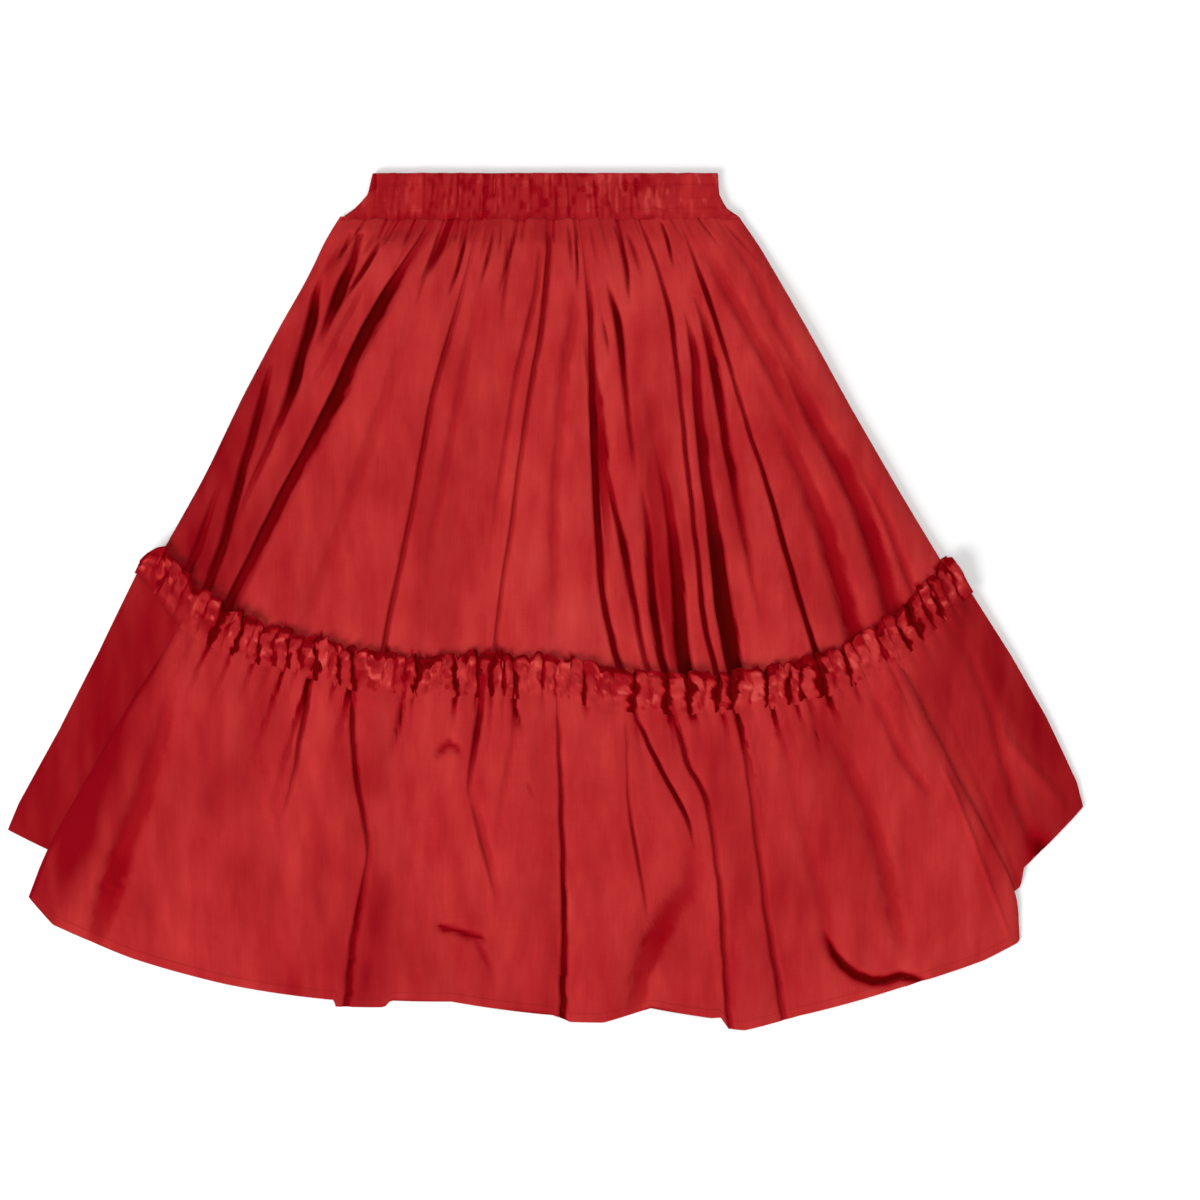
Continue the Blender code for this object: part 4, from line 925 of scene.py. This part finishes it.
def makeFlounceFront():
    # the rows are closest together at the stitches and at the hem
    t = np.linspace(0, 1, 200)
    crowd = np.cumsum(1 + 1.6 * np.exp(-t / 0.06) + 1.0 * smooth((t - 0.72) / 0.1))
    share = np.interp(np.linspace(crowd[0], crowd[-1], flounce["rows"] + 1), crowd, t)
    deg = guidedColumns(flounceGuides, share, flounce["columns"])
    share = share[:, None] + 0 * deg
    start, hem = stitchRadius(deg) + fan["seamGap"], along(flounce["frontHem"], deg)
    radius = start + (hem - start) * share
    width, length, fromHem = np.radians(deg) * radius, radius - start, hem - radius
    low, loft = along(flounce["edgeHeight"], share), along(flounce["loft"], share)
    distance = fromSide(deg, deg[:, :1], deg[:, -1:], radius)
    loft = loft + (seamHeight(deg) - loft) * smooth(1 - share / 0.12)
    puff = flounce["puff"] * mound(distance, 20, 45) * smooth(share / 0.15) * smooth((0.85 - share) / 0.5)
    z = low + (np.maximum(loft, low) + puff - low) * sideShare(distance, flounce["rounding"])
    inner = smooth(distance / 25)
    rolling = flounce["rolling"] * softNoise(width / 52 + 1.7, length / 120, 81)
    z += inner * rolling * smooth(share / 0.1) * (1 - 0.6 * share)
    z += inner * flounce["crumple"] * softNoise(width / 14, length / 30, 83)
    sink, creaseShade, lean = foldSink(flounceFolds, deg, share, radius)
    a = np.radians(deg)
    dent, dentCrease = dentSink(flounceDents, fan["x"] + radius * np.sin(a), fan["y"] - radius * np.cos(a))
    z -= sink * (0.2 + 0.8 * smooth(share / 0.07)) * (1 - 0.6 * smooth((share - 0.9) / 0.1)) + dent
    # the gathers run on from the stitches, each for its own length
    phase = waveAt(deg + 0.25 * share * softNoise(width / 30, length / 60, 87))
    nearest, gap = nearestGap(phase), gapAt(phase)
    spread = uneven(nearest * 5 + 3, 0.02, 0.10) + np.where(uneven(nearest * 7 + 4) > 0.74, 0.12, 0)
    pucker = np.exp(-((share / spread) ** 1.3))
    z += pucker * seamPucker(phase)
    z += 0.35 * smooth((flounce["hem"] + 1 - fromHem) / 1.5)
    onBack, beyond = flounce["lowest"]
    z = np.maximum(z, np.where(distance < 30, low - 0.4, 0))
    z = np.maximum(z, np.where(radius < flounce["backReach"], onBack, beyond))
    tuck, rough, down = flounce["tuck"]
    radius[0] -= tuck + rough * softNoise(width[0] / 6, 0 * width[0], 131)
    z[0] -= down
    points = fanPoints(deg + np.degrees(lean / radius), radius, z)
    # painted shade along the hem
    left, right = flounce["hemShadeSpan"]
    below = smooth((3.2 - fromHem) / 2.2) * smooth((deg - left) / 0.3) * smooth((right - deg) / 0.5)
    below = 0.75 * below * smooth(0.4 + 1.2 * softNoise(width / 40, 0 * width, 119))
    # painted shade in the gaps where the gathers run on below the stitches
    ragged = 0.10 * softNoise(width / 5, length / 6, 97)
    inGap = smooth((0.10 + 0.12 * gap - np.abs(phase - nearest) + ragged) / 0.12)
    inGap *= pucker * np.clip(1.7 * gap - 1.2, 0, 1)
    creaseShade = np.maximum.reduce([creaseShade, dentCrease, below, inGap])
    # painted shade: darker towards the sides, more on the left, with the shade patches and random wear
    shade = np.where(deg < 0, 0.4, 0.15) * (1 - smooth(distance / 7)) + flounceShade(deg, share, radius)
    place, shade = onCloth(width, length, 4, 0.9), np.clip(shade, -0.4, 1)
    piece = clothShell("flounceFront", points, place, creaseShade, shade, fan["wall"], True, skirtCloth)
    dress(piece, "flounce_front")
    inset = flounce["hem"] - 1.0
    row = np.argmin(np.abs(fromHem - inset), axis=0)
    return [points[row, np.arange(points.shape[1])][4:-4] + (0, 0, 0.00012)]


flap = {
    "rows": 60,
    "edges": [(0.00, -30.9, 32.5), (0.30, -30.4, 32.5), (0.60, -30.1, 32.3), (0.90, -30.0, 31.8),
              (1.00, -29.8, 31.4)],
    "inner": (-24.6, 23.6),  # angles where the flaps end, under the front
    "backHem": [(-30.0, 1012), (-27.0, 1008), (27.0, 1008), (31.4, 1003)],
    "flapHem": [(-30.0, 1012), (-24.0, 1008), (23.0, 1040), (26.0, 1042), (26.4, 1041), (27.0, 1026), (28.0, 1021),
                (31.4, 1003)],
    "foldHeight": [(0.00, 8.0), (0.15, 7.0), (0.40, 6.0), (1.00, 3.6)],
    "rise": [(0.00, 8.8), (0.15, 10.4), (0.40, 10.2), (0.70, 6.2), (1.00, 0.4)],
    "turn": 3.2,  # mm that the fold at the side bulges
    "columns": (44, 9, 230),  # across a flap, round the fold at its side, and over the back
    "foldMost": 2.2,  # mm that the back's folds rise
    "tuck": (3.4, 0.6),  # mm under the frill, and down
}
flapFolds = [
    ("leftFaint", 8, 10, 1.6, 0, 0, [(-28.6, 0.05, 0), (-28.5, 0.3, 1), (-28.3, 0.8, 0.8), (-28.2, 1, 0)]),
    ("rightLayer", 6, 1.6, 2.2, 0, 0, [(27.2, 0.1, 0), (27.1, 0.35, 0.6), (26.9, 0.6, 1), (26.6, 0.9, 1),
     (26.5, 1, 1)]),
    ("rightShadow", 8, 7, 4, 3, 0, [(30.4, 0.06, 0), (30, 0.25, 0.6), (29.4, 0.45, 0.9), (28.6, 0.62, 1),
     (28.2, 0.8, 1), (28, 1, 1)]),
    ("rightPatch", 10, 9, -3.4, 0, 0, [(29.4, 0.4, 0), (29.5, 0.55, 0.8), (29.9, 0.7, 1), (30.3, 0.84, 0.8),
     (30.5, 1, 0.2)]),
]
flounceBackFolds = [
    ("back1", 5, 9, 2.2, 0, 0, [(-22, 0, 1), (-22.6, 0.4, 1), (-22, 0.8, 0.4)]),
    ("back2", 9, 4, 2.2, 0, 0, [(-12, 0, 1), (-11.5, 0.5, 1), (-11, 1, 0.8)]),
    ("back3", 5, 9, 1.9, 0, 0, [(-2, 0, 1), (-1.4, 0.3, 1), (-1.8, 0.65, 0)]),
    ("back4", 4, 9, 2.2, 0, 0, [(8.5, 0, 1), (8, 0.5, 1), (8.8, 1, 0.8)]),
    ("back5", 9, 5, 2, 0, 0, [(17, 0, 1), (17.5, 0.35, 1), (17, 0.75, 0)]),
]


# painted shade: the flaps at the sides turn away from the light, the left one darkest
def flapPaintedShade(deg):
    onRight = 0.32 + 0.14 * smooth((deg - 25.9) / 1.6) + 0.32 * smooth((deg - 28.4) / 2.6)
    return np.where(deg > 0, onRight, 0.88)


def makeFlounceBack():
    # in one sheet: the left flap, the fold at the left side, the back, the fold at the right side and the right flap
    share = np.linspace(0, 1, flap["rows"] + 1)[:, None]
    left, right = along(flap["edges"], share, 1), along(flap["edges"], share, 2)
    fold = along(flap["foldHeight"], share)
    mm = math.degrees(1 / 900)  # one millimetre, as an angle
    across, around, over = flap["columns"]
    part = np.concatenate([np.linspace(1, 0.06, across), np.linspace(0.05, 0.01, 3)])[None, :]
    turn = np.linspace(0.08, 1, around)[None, :] * math.pi
    side = mm * flap["turn"] * (1 - np.sin(turn))
    leftSide = np.hstack([left + (flap["inner"][0] - left) * part, left + side])
    rightSide = np.hstack([right + (flap["inner"][1] - right) * part, right - side])
    middle = left + 7 * mm + (right - left - 14 * mm) * np.linspace(0, 1, over)
    deg = np.hstack([leftSide, middle, rightSide[:, ::-1]])
    flapZ = fold + along(flap["rise"], share) * part**0.8 - 0.04 * fold * (part < 0.05)
    sideZ = np.hstack([flapZ, fold * (0.5 + 0.5 * np.cos(turn))])
    z = np.hstack([sideZ, 0 * middle, sideZ[:, ::-1]])
    sideUp = np.hstack([1 + 0 * part, 1 - smooth(turn / math.pi)]) + 0 * left
    onFlap = np.hstack([sideUp, 0 * middle, sideUp[:, ::-1]])
    isFlap, isBack = onFlap >= 1, np.zeros(deg.shape, bool)
    isBack[:, sideUp.shape[1] : -sideUp.shape[1]] = True
    share = share + 0 * deg
    start = stitchRadius(deg) + 2 * fan["seamGap"]
    hem = np.where(onFlap > 0.5, along(flap["flapHem"], deg), along(flap["backHem"], deg))
    radius = start + (hem - start) * share
    width, length = np.radians(deg) * radius, radius - start
    sink, creaseShade = foldSink(flapFolds, deg, share, radius)[:2]
    inner = smooth(np.minimum(np.abs(deg - left), np.abs(right - deg)) / 0.5)
    rolling = 0.5 * inner * softNoise(width / 30, length / 90, 91) * smooth((1.02 - share) / 0.2)
    top = np.maximum(z - sink * inner, 2.2) + rolling
    sewn = seamHeight(deg) + seamPucker(waveAt(deg)) - 1.0  # it is sewn on at the tier's height
    top += inner * np.maximum(sewn - top, 0) * np.exp(-((share / 0.06) ** 1.5))
    backSink, backCrease = foldSink(flounceBackFolds, deg, share, radius)[:2]
    pucker = 1.6 * np.exp(-share / 0.09) * (1 - hump(deg * 0.62 + 0.3)) * (onFlap <= 0)
    low = z + np.minimum(backSink, flap["foldMost"]) + pucker
    z = np.where(isFlap, top, np.where(isBack, low, z))
    tuck, down = flap["tuck"]
    radius[0] -= tuck * inner[0] * isFlap[0]
    z[0] -= down * inner[0] * isFlap[0]
    # painted shade: darker towards the right flap's hem, lighter in a patch on the right flap, with random wear
    flare = smooth((share - 0.84) / 0.16) * mound(deg, 28.2, 0.7) * isFlap
    creaseShade = np.where(isFlap, np.maximum(0.6 * creaseShade, flare), np.where(isBack, 0.5 * backCrease, 0))
    tone = flapPaintedShade(deg) - 0.40 * mound(deg, 29.8, 0.8) * mound(share, 0.72, 0.14) + wear(width, length, 121)
    shade = np.clip(onFlap * tone + 0.35 * flare, 0.12, 1)
    points, place = fanPoints(deg, radius, z), onCloth(width, length, 6 + 0.3 * (onFlap > 0.5), 1.3)
    piece = clothShell("flounceBack", points, place, creaseShade, shade, fan["wall"], False, skirtCloth)
    dress(piece, "flounce_back")


# Elastic waist
casing = {
    "sides": [(0.00, -164.7, 164.0), (0.45, -169.0, 165.1), (0.75, -180.0, 171.5), (1.00, -195.0, 186.0)],
    "outside": 7.6,  # mm up
    "wall": 2.2,  # cloth, elastic and cloth
    "clothWall": 0.4,
    "rounding": 6.0,
    "bend": 1.1,  # mm that the folded top edge rises
    "section": (26, 7, 10),  # rows on the outside, over the top edge and inside
    "columns": 440,
    "gathers": 66,
    "gathersFrom": (-186, 178),  # mm across, from the first to the last
    "gatherDepth": (0.5, 2.3),  # mm
    "middle": (-8.0, 115.0),  # where it is gathered tightest, and over what reach
    "stitchRows": (0.24, 0.76),  # shares of the way down
}


def casingRipple(x, v, first):  # how deep the elastic's gathers press
    sink = np.zeros(x.shape)
    left, right = casing["gathersFrom"]
    for i in range(casing["gathers"]):
        draw = lambda step, low, high: float(uneven(first + i * step, low, high))
        centre = left + (right - left) * (i + 0.5 + draw(3, -0.4, 0.4)) / casing["gathers"]
        tight = (0.32 + 0.68 * mound(centre, *casing["middle"])) * (1 - 0.7 * smooth((centre - 90) / 30))
        depth, top, low = draw(5, *casing["gatherDepth"]) * tight, draw(7, -0.5, 0.45), draw(11, 0.55, 1.5)
        lean, reach = draw(13, -3.5, 3.5) + 0.03 * centre, draw(17, 1.2, 2.8)
        fade = smooth((v - top) / 0.2) * smooth((low - v) / 0.2)
        t = np.clip(np.abs(x - centre - lean * (v - 0.5)) / (reach * (1.3 + 0.4 * v)), 0, 1)
        sink += (depth * fade * (1 - t) ** 1.3) ** 3
    return np.cbrt(sink)


def makeCasing(name, node, front):
    # the section goes from the seam up the outside, over the folded top edge and down inside
    outer, bend, back = casing["section"]
    section = lambda *parts: np.concatenate(parts)[:, None]
    turn = np.linspace(0.12, 0.88, bend) * math.pi
    v = section(np.linspace(1, 0.04, outer), np.zeros(bend), np.linspace(0.05, 0.98, back))
    inward = section(np.zeros(outer), 0.5 - 0.5 * np.cos(turn), np.ones(back))
    over = section(np.zeros(outer), np.sin(turn), np.zeros(back))
    t = np.linspace(0, 1, casing["columns"] + 1)
    u = t + 0.35 * (smooth(t) - t) + 0 * v
    left, right = along(casing["sides"], v, 1), along(casing["sides"], v, 2)
    x = left + (right - left) * u
    noise = lambda across, down, salt, low=0: softNoise(x / across, v * down + low, salt)
    first = 5 if front else 205
    sink = casingRipple(x, v, first)
    # the tier's gathers begin inside the casing's lower edge
    angle = np.degrees(np.arctan2(x - fan["x"], fan["y"] - fan["waistSeam"]))
    tierFolds = upperFolds if front else upperBackFolds
    tierSink, tierCrease = foldSink(tierFolds, angle, 0.012, waistRadius(angle))[:2]
    meets = smooth((v - 0.72) / 0.28)
    fine = 0.22 * noise(3.1, 3, 101 + first) + 0.35 * noise(17, 1.3, 103 + first)
    grooves = sum(0.45 * mound(v, row, 1.3 / 44) for row in casing["stitchRows"])
    grooves = np.maximum(grooves * (0.6 + 0.9 * noise(8, 0, 105)), 0)
    ends = 1 - sideShare(np.minimum(u, 1 - u) * (right - left), casing["rounding"])
    outside = (1 - inward) * (fine - sink - grooves) + 0.5 * np.sin(np.pi * v)
    if front:
        z = casing["outside"] + outside - casing["wall"] * inward - 2.0 * ends
        z -= 0.22 * meets * (1 - inward) * np.minimum(tierSink, 4)
    else:
        z = np.maximum(-outside + 0.9 + casing["wall"] * inward + 0.6 * ends, 0.02)
    topY = fan["waistTop"] - casing["bend"]
    seamY = fan["waistSeam"] + fan["seamGap"] + (1 - inward) * (1.6 * noise(7, 0, 109) - 0.8)
    y = topY + (seamY - topY) * v + (casing["bend"] + 0.25 * noise(9, 0, 107)) * over
    points = 0.001 * np.stack([x, y, z], axis=-1)
    # painted shade in the gathers' valleys, the stitch grooves and the tier's folds at the lower edge, with random
    # dark blotches, fewer to the right
    blotch = smooth((0.6 * noise(4.5, 6, 111) + 0.5 * noise(11, 3, 113) - 0.12) / 0.45)
    creaseShade = np.clip(sink / 1.9, 0, 1) ** 1.2 * 0.9 + 0.5 * grooves
    creaseShade += 0.52 * blotch * (1 - 0.6 * smooth((x - 80) / 40))
    creaseShade = (1 - inward) * np.clip(np.maximum(creaseShade, 0.9 * meets * tierCrease), 0, 0.64)
    # painted shade: darker to the left and along the lower edge, with random pale spots
    pale = smooth((noise(3.4, 5, 115, 2) + 0.4 * noise(9, 2, 116) - 0.30) / 0.35)
    shade = 0.22 * (1 - smooth((x + 40) / 130)) + 0.34 * smooth((v - 0.76) / 0.24)
    shade += 0.12 * noise(14, 2, 118) - 0.36 * pale
    place = onCloth(1.4 * x, y, 8, 0.001 * z + 1.7 + inward)
    piece = clothShell(name, points, place, creaseShade, (1 - inward) * shade, casing["clothWall"], front, casingShadedCloth)
    dress(piece, node)
    rows = [np.argmin(np.abs(v[:outer, 0] - row)) for row in casing["stitchRows"]]
    return [points[row, 6:-6] + (0, 0, 0.0001) for row in rows]


stitches = {
    "hem": {"length": 2.2, "gap": 1.1, "thick": 0.42},  # mm
    "waist": {"length": 2.0, "gap": 0.9, "thick": 0.45},
}
makeUpperFront()
makeUpperBack()
makeFrillFront()
makeFrillBack()
hemLines = makeFlounceFront()
makeFlounceBack()
waistLines = makeCasing("waistFront", "waistband_front", True)
makeCasing("waistBack", "waistband_back", False)
stitchRow("hemStitches", hemLines, redThread, **stitches["hem"])
stitchRow("waistStitches", waistLines, redThread, **stitches["waist"])

# Floor, light and camera
studio = {
    "floorColour": (0.97, 0.97, 0.97, 1),
    "floorReach": 30.0,
    "key": {"place": (-2.9, -2.6, 2.9), "size": 2.4, "watts": 187.0},
    "fill": {"place": (2.2, 1.8, 2.6), "size": 2.6, "watts": 26.0},
    "overhead": {"place": (0.1, 0.3, 3.6), "size": 1.4, "watts": 48.0},
    "sky": 0.26,
    "cameraOver": (0.0519, 0.0017),
    "viewWidth": 1.140,
    "lens": 85.0,
    "sensor": 36.0,
}


def softLight(name, place, size, watts):
    lamp = bpy.data.lights.new(name, "AREA")
    lamp.energy, lamp.size = watts, size
    light = putInScene(name, lamp)
    light.location = place
    light.rotation_mode = "QUATERNION"
    light.rotation_quaternion = (Vector((0.05, 0, 0)) - Vector(place)).to_track_quat("-Z", "Y")


def makeStudio():
    mesh, reach = bpy.data.meshes.new("floor"), studio["floorReach"]
    corners = [(-reach, -reach, 0), (reach, -reach, 0), (reach, reach, 0), (-reach, reach, 0)]
    mesh.from_pydata(corners, [], [(0, 1, 2, 3)])
    floor = putInScene("floor", mesh)
    floor.location.z = -0.0004
    paper = {"Base Color": studio["floorColour"], "Roughness": 0.9, "Specular IOR Level": 0.1}
    mesh.materials.append(startFinish("paper", paper)[0])
    for name in ("key", "fill", "overhead"):
        softLight(name, **studio[name])
    world = bpy.data.worlds.new("studioAir")
    world.use_nodes = True
    world.node_tree.nodes["Background"].inputs["Color"].default_value = (1, 1, 1, 1)
    world.node_tree.nodes["Background"].inputs["Strength"].default_value = studio["sky"]
    bpy.context.scene.world = world
    lens = bpy.data.cameras.new("camera")
    lens.lens, lens.sensor_width = studio["lens"], studio["sensor"]
    camera = putInScene("camera", lens)
    distance = studio["viewWidth"] / studio["sensor"] * studio["lens"]
    camera.location = (*studio["cameraOver"], distance + 0.012)
    bpy.context.scene.camera = camera
    bpy.context.scene.view_settings.view_transform = "Standard"


makeStudio()
print("skirt: studio ready")
